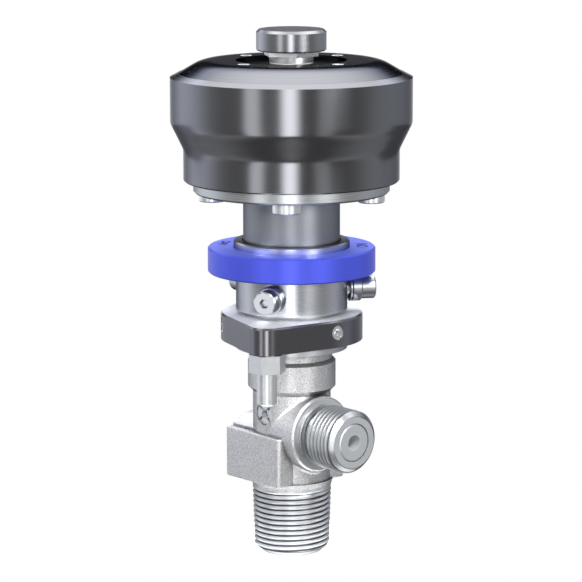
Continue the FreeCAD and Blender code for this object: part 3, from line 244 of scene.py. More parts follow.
def bare_material(name):
    """A material without any node yet, and its tree."""
    material = bpy.data.materials.new(name)
    material.use_nodes = True
    material.node_tree.nodes.clear()
    return material, material.node_tree


def vary_colour(tree, shader, fraction, first, second):
    """Blend two hex colours by a pattern and give the blend to the shader."""
    ramp = add_node(tree, "ShaderNodeValToRGB", {"Fac": fraction})
    ramp.color_ramp.elements[0].color = linear(first)
    ramp.color_ramp.elements[1].color = linear(second)
    tree.links.new(ramp.outputs["Color"], shader.inputs["Base Color"])


def vary_roughness(tree, shader, fraction, low, high):
    """Let a pattern move the shader's roughness between two values."""
    tree.links.new(spread(tree, fraction, low, high), shader.inputs["Roughness"])


def raise_surface(tree, shader, height, depth_mm):
    """Use a pattern as a bump of a real depth in millimetres."""
    bump = add_node(tree, "ShaderNodeBump", {"Height": height, "Distance": depth_mm * MM})
    tree.links.new(bump.outputs["Normal"], shader.inputs["Normal"])


def dim_edges(shader, share):
    """Metal seen edge on reflects less than this share of light, as oxide and wear make it."""
    shader.inputs["Specular Tint"].default_value = (share, share, share, 1)


def paint_crevice_shade(tree, shader, reach_mm, least):
    """Painted shade: the colour darkens where little sky reaches the surface, in corners, sockets and
    under other parts.
    """
    # Painted shade: ambient occlusion scales the base colour down in corners and under other parts.
    sky = add_node(tree, "ShaderNodeAmbientOcclusion", {"Distance": reach_mm * MM}, samples=8)
    share = spread(tree, gate(tree, sky.outputs["AO"], 0.2, 0.75), least, 1.0)
    colour = shader.inputs["Base Color"]
    shaded = add_node(tree, "ShaderNodeVectorMath", {0: colour.links[0].from_socket, "Scale": share},
                      operation="SCALE")
    tree.links.new(shaded.outputs[0], colour)


# %% [markdown]
# ## Patterns that machining leaves
#
# A lathe leaves fine rings round the part's axis. On a wall they follow the height, and on a flat
# face they follow the radius, so a noise that reads height plus radius draws both. Shot blasting
# leaves small dents of a few tenths of a millimetre in every direction, which is plain noise.

# %% Patterns
def lathe_rings(tree, ring_mm, axis="Z"):
    """Noise in rings round the upright axis, or round the outlet's axis along Y."""
    along, radius = round_axis(tree, axis)
    noise = add_node(tree, "ShaderNodeTexNoise",
                     {"W": compute(tree, "ADD", along, radius), "Scale": 1 / (ring_mm * MM),
                      "Detail": 3.0},
                     noise_dimensions="1D")
    return noise.outputs["Fac"]


def grain(tree, size_mm, detail=2.0):
    """Noise whose spots are about this size."""
    place = add_node(tree, "ShaderNodeTexCoord").outputs["Object"]
    noise = add_node(tree, "ShaderNodeTexNoise",
                     {"Vector": place, "Scale": 1 / (size_mm * MM), "Detail": detail})
    return noise.outputs["Fac"]


# %% [markdown]
# ## Steel finishes
#
# All the steel here is bare metal, so it is fully metallic and its colour is the colour of its
# reflection. What tells the pieces apart is roughness: the blasted forging is matt, turned steel is
# satin, and ground or plated steel is bright. Two more effects are added. Corners and the places under
# other parts get painted shade, and metal seen edge on is a little duller than clean metal would be.

# %% Steel
def blasted_stainless():
    """Forged stainless steel, shot blasted: pale, with dents of 0.4 mm, coarse enough to show."""
    material, tree, shader = new_finish("blasted_stainless", "#dcdcde", 1.0, 0.42)
    dents = grain(tree, 0.42, 3.0)
    vary_colour(tree, shader, gate(tree, dents, 0.35, 0.65), "#c0c0c2", "#f2f2f3")
    vary_roughness(tree, shader, dents, 0.36, 0.5)
    raise_surface(tree, shader, dents, 0.05)
    # Painted shade, 9 mm deep: it darkens the collar under the lock plate and the face under the boss.
    paint_crevice_shade(tree, shader, 9.0, 0.1)
    dim_edges(shader, 0.1)
    return material


def turned_stainless(name="turned_stainless", roughness=0.38, first="#c2c5ca", second="#d3d6db"):
    """Stainless steel from the lathe: satin, with rings of 0.25 mm."""
    material, tree, shader = new_finish(name, first, 1.0, roughness)
    rings = lathe_rings(tree, 0.25)
    vary_colour(tree, shader, rings, first, second)
    vary_roughness(tree, shader, rings, roughness - 0.06, roughness + 0.08)
    raise_surface(tree, shader, rings, 0.004)
    paint_crevice_shade(tree, shader, 1.5, 0.2)
    dim_edges(shader, 0.2)
    return material


def faced_stainless():
    """The outlet's end and its insert: finely faced, with a rough bore."""
    material, tree, shader = new_finish("faced_stainless", "#dcdfe2", 1.0, 0.5)
    rings = lathe_rings(tree, 0.2, "Y")
    vary_colour(tree, shader, rings, "#d8dbde", "#e6e9ec")
    radius = round_axis(tree, "Y")[1]
    bore = gate(tree, radius, (OUTLET_BORE + 0.1) * MM, OUTLET_BORE * MM)
    vary_roughness(tree, shader, bore, 0.48, 0.9)
    raise_surface(tree, shader, rings, 0.003)
    return material


def threaded_stainless(name, axis, end_mm, chamfer_mm, root_mm, shaded_mm, taper, roughness,
                       root_shade, crest):
    """Cut thread in stainless steel: bright crests, and painted shade in the grooves.

    The painted shade is darkest at the groove's root radius and gone at the shaded height above it.
    The radius of a tapered thread is that at height 0. The chamfer at the thread's end stays bright.
    """
    material, tree, shader = new_finish(name, "#c9ccd1", 1.0, roughness)
    along, radius = round_axis(tree, axis)
    level = compute(tree, "MULTIPLY_ADD", along, -taper, radius)
    share = gate(tree, level, root_mm * MM, (root_mm + shaded_mm) * MM)
    from_end = compute(tree, "ADD", along, end_mm * MM)
    chamfer = gate(tree, from_end, chamfer_mm * MM, 0.8 * chamfer_mm * MM)
    vary_colour(tree, shader, compute(tree, "MAXIMUM", share, chamfer), root_shade, crest)
    raise_surface(tree, shader, grain(tree, 0.28), 0.02)
    dim_edges(shader, 0.1)
    return material


def polished_steel():
    """Ground and polished steel: bright, with faint rings of 0.15 mm."""
    material, tree, shader = new_finish("polished_steel", "#d3d6dc", 1.0, 0.3)
    rings = lathe_rings(tree, 0.15)
    vary_colour(tree, shader, rings, "#c8cbd1", "#d6d9df")
    vary_roughness(tree, shader, rings, 0.22, 0.33)
    raise_surface(tree, shader, rings, 0.002)
    paint_crevice_shade(tree, shader, 1.2, 0.08)
    dim_edges(shader, 0.1)
    return material


def plated_steel():
    """Zinc plated steel: bright with a faint cloudiness of a millimetre or two."""
    material, tree, shader = new_finish("plated_steel", "#eceff1", 1.0, 0.34)
    clouds = grain(tree, 1.6)
    vary_colour(tree, shader, clouds, "#e6eaec", "#f2f4f5")
    vary_roughness(tree, shader, clouds, 0.3, 0.38)
    raise_surface(tree, shader, grain(tree, 0.25), 0.0015)
    paint_crevice_shade(tree, shader, 1.0, 0.08)
    return material


def spring_steel():
    """Oiled spring steel: dark and half glossy."""
    material, tree, shader = new_finish("spring_steel", "#6a6c70", 1.0, 0.35)
    clouds = grain(tree, 2.5)
    vary_colour(tree, shader, clouds, "#5d5f64", "#787a7f")
    vary_roughness(tree, shader, clouds, 0.28, 0.42)
    raise_surface(tree, shader, lathe_rings(tree, 0.3), 0.003)
    return material


# %% [markdown]
# ## Anodised aluminium
#
# Anodising grows a clear hard layer that takes a dye. The metal under it still shows, so the finish
# stays metallic but darker or coloured. The drum is turned first, so the rings show through the dye.
# The edges of its waist are blended over, so its streaks of light fade out there. A bevel node draws
# that in the finish and leaves the shape alone.

# %% Anodised aluminium
def anodised(name, first, second, roughness, ring_mm=0.3, depth_mm=0.003, metallic=1.0, edges=0.3):
    """Turned aluminium with a dyed anodic layer; a thick dye hides part of the metal."""
    material, tree, shader = new_finish(name, first, metallic, roughness)
    rings = lathe_rings(tree, ring_mm)
    vary_colour(tree, shader, rings, first, second)
    vary_roughness(tree, shader, rings, roughness - 0.05, roughness + 0.06)
    raise_surface(tree, shader, rings, depth_mm)
    if metallic < 1.0:
        shader.inputs["Specular IOR Level"].default_value = 0.25
    else:
        dim_edges(shader, edges)
    return material


def blend_edges(material, radius_mm, low_mm, high_mm):
    """Shade the edges between two heights as if they were blended over, under the bump."""
    tree = material.node_tree
    distance = off_middle(tree, coordinates(tree)["Z"], low_mm * MM, high_mm * MM)
    inside = compute(tree, "LESS_THAN", distance, (high_mm - low_mm) / 2 * MM)
    sharp = add_node(tree, "ShaderNodeNewGeometry").outputs["Normal"]
    blended = add_node(tree, "ShaderNodeBevel", {"Radius": radius_mm * MM}, samples=16)
    # Sockets 4 and 5 take the two vectors of a mix node, and output 1 gives their mix.
    mixed = add_node(tree, "ShaderNodeMix", {0: inside, 4: sharp, 5: blended.outputs["Normal"]},
                     data_type="VECTOR")
    tree.links.new(mixed.outputs[1], tree.nodes["Bump"].inputs["Normal"])


def skimmed_and_lit_tops(material, colour, roughness):
    """Faces that look up get a lighter colour and a satin roughness: partly a skimmed face, partly a
    painted highlight of the light from above.
    """
    tree = material.node_tree
    shader = tree.nodes["Principled BSDF"]
    dyed = shader.inputs["Base Color"].links[0].from_socket
    gloss = shader.inputs["Roughness"].links[0].from_socket
    normal = add_node(tree, "ShaderNodeNewGeometry").outputs["Normal"]
    up = add_node(tree, "ShaderNodeSeparateXYZ", {"Vector": normal}).outputs["Z"]
    top = gate(tree, up, 0.9, 0.95)
    # Sockets 6 and 7 take the two colours of a mix node, and 2 and 3 take its two numbers.
    mixed = add_node(tree, "ShaderNodeMix", {0: top, 6: dyed, 7: linear(colour)},
                     data_type="RGBA")
    tree.links.new(mixed.outputs[2], shader.inputs["Base Color"])
    satin = add_node(tree, "ShaderNodeMix", {0: top, 2: gloss, 3: roughness})
    tree.links.new(satin.outputs[0], shader.inputs["Roughness"])
    return material


# %% [markdown]
# ## Seals, plastic and paint
#
# The seals sit inside and hardly show. Nitrile rubber is a dark dielectric with a soft gloss, and the
# seat is a pale engineering plastic. The paint in the engraved words is made the same way. These
# three aren't metals, so one function with a fine skin serves them all.

# %% Seals, plastic and paint
def moulded(name, colour, roughness, grain_mm, depth_mm, first, second):
    """Rubber, plastic or paint, with a fine skin whose spots and depth are in millimetres."""
    material, tree, shader = new_finish(name, colour, 0.0, roughness)
    skin = grain(tree, grain_mm)
    vary_colour(tree, shader, skin, first, second)
    raise_surface(tree, shader, skin, depth_mm)
    return material


# %% [markdown]
# ## Give each CAD piece its finish
#
# A finish is made once and shared by all pieces that have it. The drum, its cover and the plate in the
# middle of the top come from different dye baths, so each has its own grey.

# %% Finishes
# The waist of the drum, with room for its blended edges, is between these heights in millimetres.
WAIST_LOW = 134.5
WAIST_HIGH = 156.5
WAIST_BLEND = 4.5

FINISHES = {
    "turned": turned_stainless(),
    # Painted shade: the neck is a darker copy of the turned steel, for the shade that falls on it.
    "shaded_neck": turned_stainless("shaded_turned_neck", 0.4, "#8f9297", "#9da0a5"),
    "faced": faced_stainless(),
    # The root colours of both threads are painted shade in their grooves.
    "inlet_turns": threaded_stainless(
        "threaded_inlet", "Z", end_mm=0.0, chamfer_mm=1.6, root_mm=12.18, shaded_mm=0.3,
        taper=INLET_TAPER, roughness=0.36, root_shade="#505256", crest="#e8eaed"),
    "outlet_turns": threaded_stainless(
        "threaded_outlet", "Y", end_mm=OUTLET_END, chamfer_mm=1.7,
        root_mm=OUTLET_RADIUS - OUTLET_GROOVE, shaded_mm=0.75, taper=0.0, roughness=0.34,
        root_shade="#222427", crest="#cbced2"),
    "polished": polished_steel(),
    "plated": plated_steel(),
    "spring": spring_steel(),
    "blasted": blasted_stainless(),
    "drum": anodised("dark_anodised_drum", "#828387", "#909196", 0.17, edges=0.35),
    "dome": anodised("dark_anodised_cover", "#7c7d82", "#88898e", 0.16, edges=0.05),
    "feed": anodised("black_anodised_plate", "#48494d", "#54555a", 0.16, edges=0.05),
    # The lock plate's white top and the ring's lighter blue top are partly painted highlight.
    "plate": skimmed_and_lit_tops(
        anodised("black_anodised_lock_plate", "#7e7e83", "#8a8a90", 0.22, edges=1.0),
        "#f6f7f8", 0.6),
    "base": anodised("clear_anodised_base", "#c3c6c8", "#d0d3d5", 0.28),
    "cap": anodised("grey_anodised_cap", "#9c9da2", "#a6a7ac", 0.22, depth_mm=0.001, edges=0.5),
    "ring": skimmed_and_lit_tops(
        anodised("blue_anodised_ring", "#4854d4", "#5460dc", 0.36, ring_mm=0.2, metallic=0.55),
        "#6676ec", 0.5),
    "aluminium": anodised("plain_turned_aluminium", "#c4c5c8", "#d2d3d6", 0.3),
    "rubber": moulded("nitrile_rubber", "#141414", 0.55, 0.4, 0.01, "#101010", "#1c1c1c"),
    "plastic": moulded("seat_plastic", "#dadad7", 0.4, 0.8, 0.004, "#d5d5d2", "#e2e2df"),
    "paint": moulded("mark_paint", "#1a2266", 0.5, 0.4, 0.004, "#151c5c", "#1f2872"),
}
blend_edges(FINISHES["drum"], WAIST_BLEND, WAIST_LOW, WAIST_HIGH)
print("Finishes:", len(FINISHES))

# %% [markdown]
# This table reads like a parts list. The pieces inside are in it too, because they show when the
# valve is cut open or taken apart.

# %% Pieces and their finishes
PIECES = {
    "turned": ["bonnet_nut", "spindle", "pressure_pad", "piston_nut"],
    "shaded_neck": ["actuator_neck"],
    "faced": ["outlet_insert"],
    "polished": ["lock_sleeve", "roller_screws", "roller_left", "roller_right", "roller_rear"],
    "plated": ["stop_pin", "base_screws", "cover_screws", "plate_screws", "relief_plug",
               "air_fitting"],
    "spring": ["closing_springs", "diaphragm"],
    "blasted": ["valve_body"],
    "drum": ["drum_housing"],
    "dome": ["top_cover"],
    "feed": ["inlet_plate"],
    "plate": ["lock_plate"],
    "base": ["base_plate"],
    "cap": ["air_cap"],
    "ring": ["lock_ring"],
    "aluminium": ["piston"],
    "rubber": ["spindle_seal", "base_seal", "cover_seal", "feed_seal", "piston_seal"],
    "plastic": ["seat_ring", "fitting_seal"],
}

dressed = 0
for finish, names in PIECES.items():
    for name in names:
        mesh = nodes[name].data
        mesh.materials.clear()
        mesh.materials.append(FINISHES[finish])
        dressed += 1
print("CAD pieces with a finish:", dressed)

# %% [markdown]
# ## Thread turns
#
# The CAD body has smooth cylinders at the threads' crests, which is right for a mount. The real
# threads are V grooves with 14 turns an inch. A grid whose rows run along the helix keeps the crests
# sharp with few faces, so each row of points climbs by one pitch in a turn. Both ends of the grid are
# held at the thread's ends, where the chamfer limits the radius.

# %% Thread skin
ROUND_STEPS = 144
CREST_SHARE = 0.14
ROOT_SHARE = 0.10
FLANK_SHARE = (1 - CREST_SHARE - ROOT_SHARE) / 2
PROFILE_STOPS = [
    0.0,
    CREST_SHARE,
    CREST_SHARE + FLANK_SHARE / 2,
    CREST_SHARE + FLANK_SHARE,
    CREST_SHARE + FLANK_SHARE + ROOT_SHARE,
    CREST_SHARE + 1.5 * FLANK_SHARE + ROOT_SHARE,
]


def round_point(radius, angle, height):
    """A point round the Z axis, from millimetres to metres."""
    return (radius * math.cos(angle) * MM, radius * math.sin(angle) * MM, height * MM)


def v_profile(turn):
    """Depth of the groove, from 0 on the crest to 1 at the root, over one turn."""
    turn = turn % 1.0
    if turn < CREST_SHARE:
        return 0.0
    if turn < CREST_SHARE + FLANK_SHARE:
        return (turn - CREST_SHARE) / FLANK_SHARE
    if turn < CREST_SHARE + FLANK_SHARE + ROOT_SHARE:
        return 1.0
    return (1 - turn) / FLANK_SHARE


def smooth(piece, degrees):
    """Smooth shading up to an angle, sharp beyond it."""
    piece.data.shade_smooth()
    piece.data.set_sharp_from_angle(angle=math.radians(degrees))


def thread_skin(name, start, end, envelope, depth):
    """Rows along the helix, each point at its radius along the axis, in millimetres."""
    first_turn = math.floor(start / PITCH) - 2
    last_turn = math.ceil(end / PITCH) + 1
    rows = [turn + stop for turn in range(first_turn, last_turn) for stop in PROFILE_STOPS]
    mesh = bmesh.new()
    grid = []
    for row in rows:
        line = []
        for step in range(ROUND_STEPS + 1):
            share = step / ROUND_STEPS
            along = min(max((row + share) * PITCH, start), end)
            groove = depth(along) * v_profile(along / PITCH - share)
            line.append(mesh.verts.new(
                round_point(envelope(along, groove), 2 * math.pi * share, along)))
        grid.append(line)
    for lower, upper in zip(grid, grid[1:]):
        for step in range(ROUND_STEPS):
            mesh.faces.new((lower[step], lower[step + 1], upper[step + 1], upper[step]))
    bmesh.ops.remove_doubles(mesh, verts=mesh.verts, dist=0.0005 * MM)
    bmesh.ops.dissolve_degenerate(mesh, edges=mesh.edges, dist=0.0005 * MM)
    thread = add_mesh(name, mesh)
    smooth(thread, 35)
    print(name, "faces:", len(thread.data.polygons))
    return thread


# %% [markdown]
# ## Carved copies
#
# Some details are cut into a copy of a CAD piece: the thread zones of the body, the slots of the
# relief plug and the words on the ring. A boolean needs a closed mesh, so the copy is welded first.
# The copy then rides the same body as its piece and takes its place in the picture.

# %% Carve a copy
def weld(data):
    """Join corners that share a place, so that the mesh is closed."""
    mesh = bmesh.new()
    mesh.from_mesh(data)
    bmesh.ops.remove_doubles(mesh, verts=mesh.verts, dist=0.001 * MM)
    mesh.to_mesh(data)
    mesh.free()


def carved_copy(source, name, cutters, materials, degrees=30):
    """A copy of a CAD piece with the cutters taken away, smooth up to an angle."""
    data = nodes[source].data.copy()
    weld(data)
    for layer in [a for a in data.attributes if a.name == "custom_normal"]:
        data.attributes.remove(layer)
    data.materials.clear()
    for material in materials:
        data.materials.append(material)
    piece = add_object(name, data)
    for cutter in cutters:
        cut = piece.modifiers.new("cut", "BOOLEAN")
        cut.operation = "DIFFERENCE"
        cut.solver = "EXACT"
        cut.object = cutter
    shapes = bpy.context.evaluated_depsgraph_get()
    carved = bpy.data.meshes.new_from_object(piece.evaluated_get(shapes))
    piece.modifiers.clear()
    piece.data = carved
    for cutter in cutters:
        bpy.data.objects.remove(cutter)
    smooth(piece, degrees)
    print(name, "faces:", len(carved.polygons))
    return piece


def hand_in(piece, body, source):
    """Tie a dressed piece to its moving body and hide the CAD piece it replaces."""
    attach(piece, body)
    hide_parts(source)


# %% [markdown]
# ## Inlet thread
#
# The inlet thread is tapered, so that it seals as it is screwed in. Its lower end has a long chamfer,
# and at the top the groove runs out within a turn.

# %% Inlet thread
RUN_OUT_TURNS = 0.8


def inlet_cone(along):
    """Radius of the tapered crests, as if there were no chamfer."""
    return INLET_START_RADIUS + (along - INLET_CHAMFER) * INLET_TAPER


def inlet_envelope(along, groove):
    """Crest radius less the groove, limited by the chamfer at the lower end."""
    slope = (INLET_START_RADIUS - INLET_END_RADIUS) / INLET_CHAMFER
    chamfer = INLET_END_RADIUS + along * slope
    return min(chamfer, INLET_TOP_RADIUS, inlet_cone(along) - groove)


def inlet_depth(along):
    """Full depth, fading over the last part of a turn below the block's flare."""
    return INLET_GROOVE * min(1.0, max(0.0, (INLET_TOP - along) / (RUN_OUT_TURNS * PITCH)))


inlet_thread = thread_skin("inlet_thread_turns", 0, INLET_TOP, inlet_envelope, inlet_depth)

# %% [markdown]
# ## Outlet thread
#
# The outlet thread is parallel and starts at a relief groove beside the boss. Its outer end is
# chamfered so that a union nut starts easily. It is built upright like the inlet thread and then laid
# down along the outlet's axis.

# %% Outlet thread
RELIEF_SLOPE = 1.6


def outlet_envelope(along, groove):
    """Crest radius less the groove, limited by the chamfers at both ends."""
    outer = OUTLET_RADIUS - max(0.0, along - (OUTLET_END - OUTLET_CHAMFER))
    inner = OUTLET_RELIEF_RADIUS + RELIEF_SLOPE * (along - OUTLET_START)
    return min(outer, inner, OUTLET_RADIUS - groove)


def outlet_depth(along):
    """The same depth all along."""
    return OUTLET_GROOVE


outlet_thread = thread_skin("outlet_thread_turns", OUTLET_START, OUTLET_END, outlet_envelope,
                            outlet_depth)
lay_down = (Matrix.Translation((0, 0, OUTLET_HEIGHT * MM))
            @ Matrix.Rotation(math.radians(90), 4, "X"))
outlet_thread.data.transform(lay_down)

# %% [markdown]
# ## Forged body
#
# The body is a copy of its CAD mesh with the crest layer of both threads cut away, so that the thread
# skins show their grooves. The cut is a boolean with two turned rings whose bores lie just under the
# thread roots. Their ends stand a hair off the body's own faces, because a boolean is sure only where
# faces don't lie on each other.

# %% Turned rings that cut the crest layer away
def turned_shape(name, outline, steps=ROUND_STEPS, closed=True):
    """An outline of radius and height in millimetres, turned about Z."""
    mesh = bmesh.new()
    rings = []
    for radius, height in outline:
        rings.append([mesh.verts.new(round_point(radius, 2 * math.pi * step / steps, height))
                      for step in range(steps)])
    following = rings[1:] + rings[:1] if closed else rings[1:]
    for ring, other in zip(rings, following):
        for step in range(steps):
            after = (step + 1) % steps
            mesh.faces.new((ring[step], ring[after], other[after], other[step]))
    if closed:
        bmesh.ops.recalc_face_normals(mesh, faces=mesh.faces)
    return add_mesh(name, mesh)


UNDER_ROOT = 0.2
INLET_RIM = 20
OUTLET_RIM = 16
INLET_CUT = INLET_GROOVE + UNDER_ROOT
OUTLET_CUT = OUTLET_GROOVE + UNDER_ROOT
inlet_cutter = turned_shape("inlet_cutter", [
    (INLET_END_RADIUS - UNDER_ROOT, -1),
    (INLET_END_RADIUS - UNDER_ROOT, 0.1),
    (INLET_START_RADIUS - INLET_CUT, 1.6),
    (INLET_TOP_RADIUS - INLET_CUT, INLET_TOP - 0.05),
    (INLET_RIM, INLET_TOP - 0.05),
    (INLET_RIM, -1),
])
outlet_cutter = turned_shape("outlet_cutter", [
    (OUTLET_RELIEF_RADIUS - UNDER_ROOT, OUTLET_START + 0.02),
    (OUTLET_RADIUS - OUTLET_CUT, OUTLET_START + 0.6),
    (OUTLET_RADIUS - OUTLET_CUT, OUTLET_END - OUTLET_CHAMFER + 0.6),
    (OUTLET_RADIUS - OUTLET_CHAMFER - UNDER_ROOT, OUTLET_END + 0.01),
    (OUTLET_RIM, OUTLET_END + 0.01),
    (OUTLET_RIM, OUTLET_START + 0.02),
])
outlet_cutter.data.transform(lay_down)

# %% [markdown]
# Only the forging's skin is blasted. The outlet is machined afterwards, so everything beyond the
# start of its thread and the flat ring round it have the faced finish.

# %% Body and threads
BOSS_FACE = 15.0
BOSS_FACE_RADIUS = 16.5
FACING = 0.95
BEYOND_RELIEF = OUTLET_START + 0.05
forged_body = carved_copy("valve_body", "forged_body", [inlet_cutter, outlet_cutter],
                          [FINISHES["blasted"], FINISHES["faced"]])
faced = 0
for face in forged_body.data.polygons:
    across, along, up = face.center / MM
    near_outlet = math.hypot(across, up - OUTLET_HEIGHT) < BOSS_FACE_RADIUS
    boss_face = face.normal.y < -FACING and along < -BOSS_FACE and near_outlet
    face.material_index = 1 if boss_face or along < -BEYOND_RELIEF else 0
    faced += face.material_index
inlet_thread.data.materials.append(FINISHES["inlet_turns"])
outlet_thread.data.materials.append(FINISHES["outlet_turns"])
for piece in (forged_body, inlet_thread, outlet_thread):
    hand_in(piece, "valve", "valve_body")
print("Faced faces of the body:", faced)

# %% [markdown]
# ## Relief plug
#
# The relief plug is screwed into the side of the column. Four short slots round its socket take the
# tool that fits it. Each slot is a small block that is turned round the plug's axis.

# %% Slots of the relief plug
PLUG_TURN = math.radians(3)
PLUG_HEIGHT = 50.2
SLOT_FROM_AXIS = 2.75
SLOT_SIZE = (1.2, 1.0, 1.7)  # deep, wide and long
outwards = Vector((-math.cos(PLUG_TURN), -math.sin(PLUG_TURN), 0))
plug_face = max(corner.co.dot(outwards) for corner in nodes["relief_plug"].data.vertices)
slots = []
for quarter in range(4):
    block = bmesh.new()
    bmesh.ops.create_cube(block, size=1.0)
    slot = add_mesh("plug_slot", block)
    slot.data.transform(
        Matrix.Translation(outwards * plug_face + Vector((0, 0, PLUG_HEIGHT * MM)))
        @ Matrix.Rotation(PLUG_TURN, 4, "Z")
        @ Matrix.Rotation(math.radians(45 + 90 * quarter), 4, "X")
        @ Matrix.Translation((0, 0, SLOT_FROM_AXIS * MM))
        @ Matrix.Diagonal([side * MM for side in SLOT_SIZE] + [1]))
    slots.append(slot)
slotted_plug = carved_copy("relief_plug", "slotted_relief_plug", slots, [FINISHES["plated"]])
hand_in(slotted_plug, "valve", "relief_plug")
print("Plug face at mm:", round(plug_face / MM, 2))

# %% [markdown]
# ## Stop pin
#
# The hexagon of the real stop pin is a little shorter than a stock hexagon. The copy keeps the length
# of the pin and lifts only the underside of its hexagon.

# %% Shorter hexagon
HEX_DROP = 14.0
HEX_LIFT = 0.9
HEX_WITHIN = 0.02
pin_data = nodes["stop_pin"].data.copy()
pin_top = max(corner.co.z for corner in pin_data.vertices)
underside = pin_top - HEX_DROP * MM
lifted = 0
for corner in pin_data.vertices:
    if abs(corner.co.z - underside) < HEX_WITHIN * MM:
        corner.co.z += HEX_LIFT * MM
        lifted += 1
short_pin = add_object("short_stop_pin", pin_data)
hand_in(short_pin, "valve", "stop_pin")
print("Stop pin corners lifted:", lifted)

# %% [markdown]
# ## Marks on the lock ring
#
# The blue ring turns between two positions, and its top tells them apart. The words are engraved and
# filled with dark paint. Each word is a short outline with a depth, cut out of a copy of the ring.

# %% Engraved words
WORD_RADIUS = 24.4
WORD_DEPTH = 0.25
STROKE_SWELL = 0.12


def engraving(word, turn_degrees, size_mm, top_mm):
    """A word on the ring's rim, its feet to the outside, turned from the camera's direction."""
    outline = bpy.data.curves.new("word_" + word.lower(), "FONT")
    outline.body = word
    outline.size = size_mm * MM
    outline.extrude = WORD_DEPTH * MM
    outline.offset = STROKE_SWELL * MM
    outline.align_x = "CENTER"
    outline.align_y = "CENTER"
    outline.resolution_u = 3
    holder = add_object("word_" + word.lower(), outline)
    turn = VIEW_TURN + math.radians(turn_degrees)
    place = WORD_RADIUS * MM * direction(turn, 0) + Vector((0, 0, top_mm * MM))
    shapes = bpy.context.evaluated_depsgraph_get()
    data = bpy.data.meshes.new_from_object(holder.evaluated_get(shapes))
    data.transform(Matrix.Translation(place) @ Matrix.Rotation(turn, 4, "Z"))
    bpy.data.objects.remove(holder)
    weld(data)
    data.materials.clear()
    for material in (FINISHES["ring"], FINISHES["paint"]):
        data.materials.append(material)
    for face in data.polygons:
        face.material_index = 1
    return add_object("cut_" + word.lower(), data)


ring_top = max(corner.co.z for corner in nodes["lock_ring"].data.vertices) / MM
words = [
    engraving("OFF", -106, 4.6, ring_top),
    engraving("ON", 92, 5.4, ring_top),
]
marked_ring = carved_copy("lock_ring", "marked_lock_ring", words,
                          [FINISHES["ring"], FINISHES["paint"]])
hand_in(marked_ring, "lock_ring", "lock_ring")
print("Ring top at mm:", round(ring_top, 2))

# %% [markdown]
# ## Smooth copies
#
# A turned piece comes in with a seam, and the two sides of the seam face slightly different ways. A
# line shows where a highlight crosses it. A welded copy faces one way there.

# %% Smooth the turned pieces
TURNED_PIECES = {
    "drum_housing": "black_anodised",
    "top_cover": "black_anodised",
    "base_plate": "black_anodised",
    "actuator_neck": "machined_stainless",
    "lock_sleeve": "polished_steel",
}
for source, slot in TURNED_PIECES.items():
    turned_piece = carved_copy(source, "smooth_" + source, [], nodes[source].data.materials[:], 20)
    hand_in(turned_piece, "valve", source)

# %% [markdown]
# ## Table
#
# The valve stands on a small white table that melts into the white background. It glows only for the
# camera and in reflections, so that it looks as white as the background there.

# %% Table
TABLE_GLOW = 0.7


def stage_disc(name, radius, height):
    """A flat disc of the studio, in metres."""
    mesh = bmesh.new()
    bmesh.ops.create_circle(mesh, cap_ends=True, segments=96, radius=radius)
    disc = add_mesh(name, mesh)
    disc.location.z = height
    return disc


table = stage_disc("table", radius=0.04, height=-0.0002)
white, tree = bare_material("white_table")
cloth = add_node(tree, "ShaderNodeBsdfDiffuse", {"Color": linear("#e6e6e6")})
path = add_node(tree, "ShaderNodeLightPath").outputs
seen = compute(tree, "MAXIMUM", path["Is Camera Ray"], path["Is Glossy Ray"])
shown = compute(tree, "MAXIMUM", seen, path["Is Transmission Ray"])
level = compute(tree, "MULTIPLY", shown, TABLE_GLOW)
glow = add_node(tree, "ShaderNodeEmission", {"Color": (1, 1, 1, 1), "Strength": level})
both = add_node(tree, "ShaderNodeAddShader", {0: cloth.outputs[0], 1: glow.outputs[0]})
add_node(tree, "ShaderNodeOutputMaterial", {"Surface": both.outputs[0]})
table.data.materials.append(white)
print("Table glow:", TABLE_GLOW)

# %% [markdown]
# ## Light tent
#
# Round metal shows its shape only by what it reflects. So a tent of cloth stands round the valve, a
# wall with a roof and a floor, and the camera doesn't see it. Bright and dark bands alternate round
# the front of its wall, and each bright one draws a streak of light down the drum. The rear half
# lights the rims, which are seen edge on.
#
# Behind the valve the wall also changes with its height, and tops and cones mirror that. It is dark
# from 0.2 to 0.7 m up and dimmer low down, and a bright panel hangs high up.

# %% Wall of the tent
TENT_RADIUS = 1.3
TENT_FLOOR = -0.6
TENT_ROOF = 1.1
TENT_BANDS = [
    # turn from the camera's direction in degrees, brightness of the cloth there
    (-180, 1.0), (-150, 1.2), (-128, 1.4), (-114, 1.1), (-102, 0.85), (-92, 0.6), (-80, 0.34),
    (-66, 0.22), (-47, 0.2), (-41, 1.5), (-33, 1.5), (-26, 0.25), (-12, 0.25), (-5, 3.4),
    (2, 3.4), (9, 0.12), (22, 0.15), (28, 0.55), (37, 0.55), (44, 0.2), (60, 0.15), (72, 0.24),
    (84, 0.38), (98, 0.45), (120, 0.52), (135, 0.6), (150, 0.8), (158, 1.0), (180, 1.0),
]
BAND_SCALE = 4.0  # a ramp holds up to 1, so it holds a quarter of each brightness
REAR_TINT = (0.97, 1.0, 1.08)
DARK_BAND = 0.93
LOW_WALL = 0.6
HIGH_PANEL = 3.4


def hang(cloth, material):
    """Turn a cloth of the tent to the camera, hide it from view and give it its glow."""
    cloth.rotation_euler.z = VIEW_TURN - math.pi / 2
    cloth.visible_camera = False
    cloth.visible_shadow = False
    cloth.data.materials.append(material)


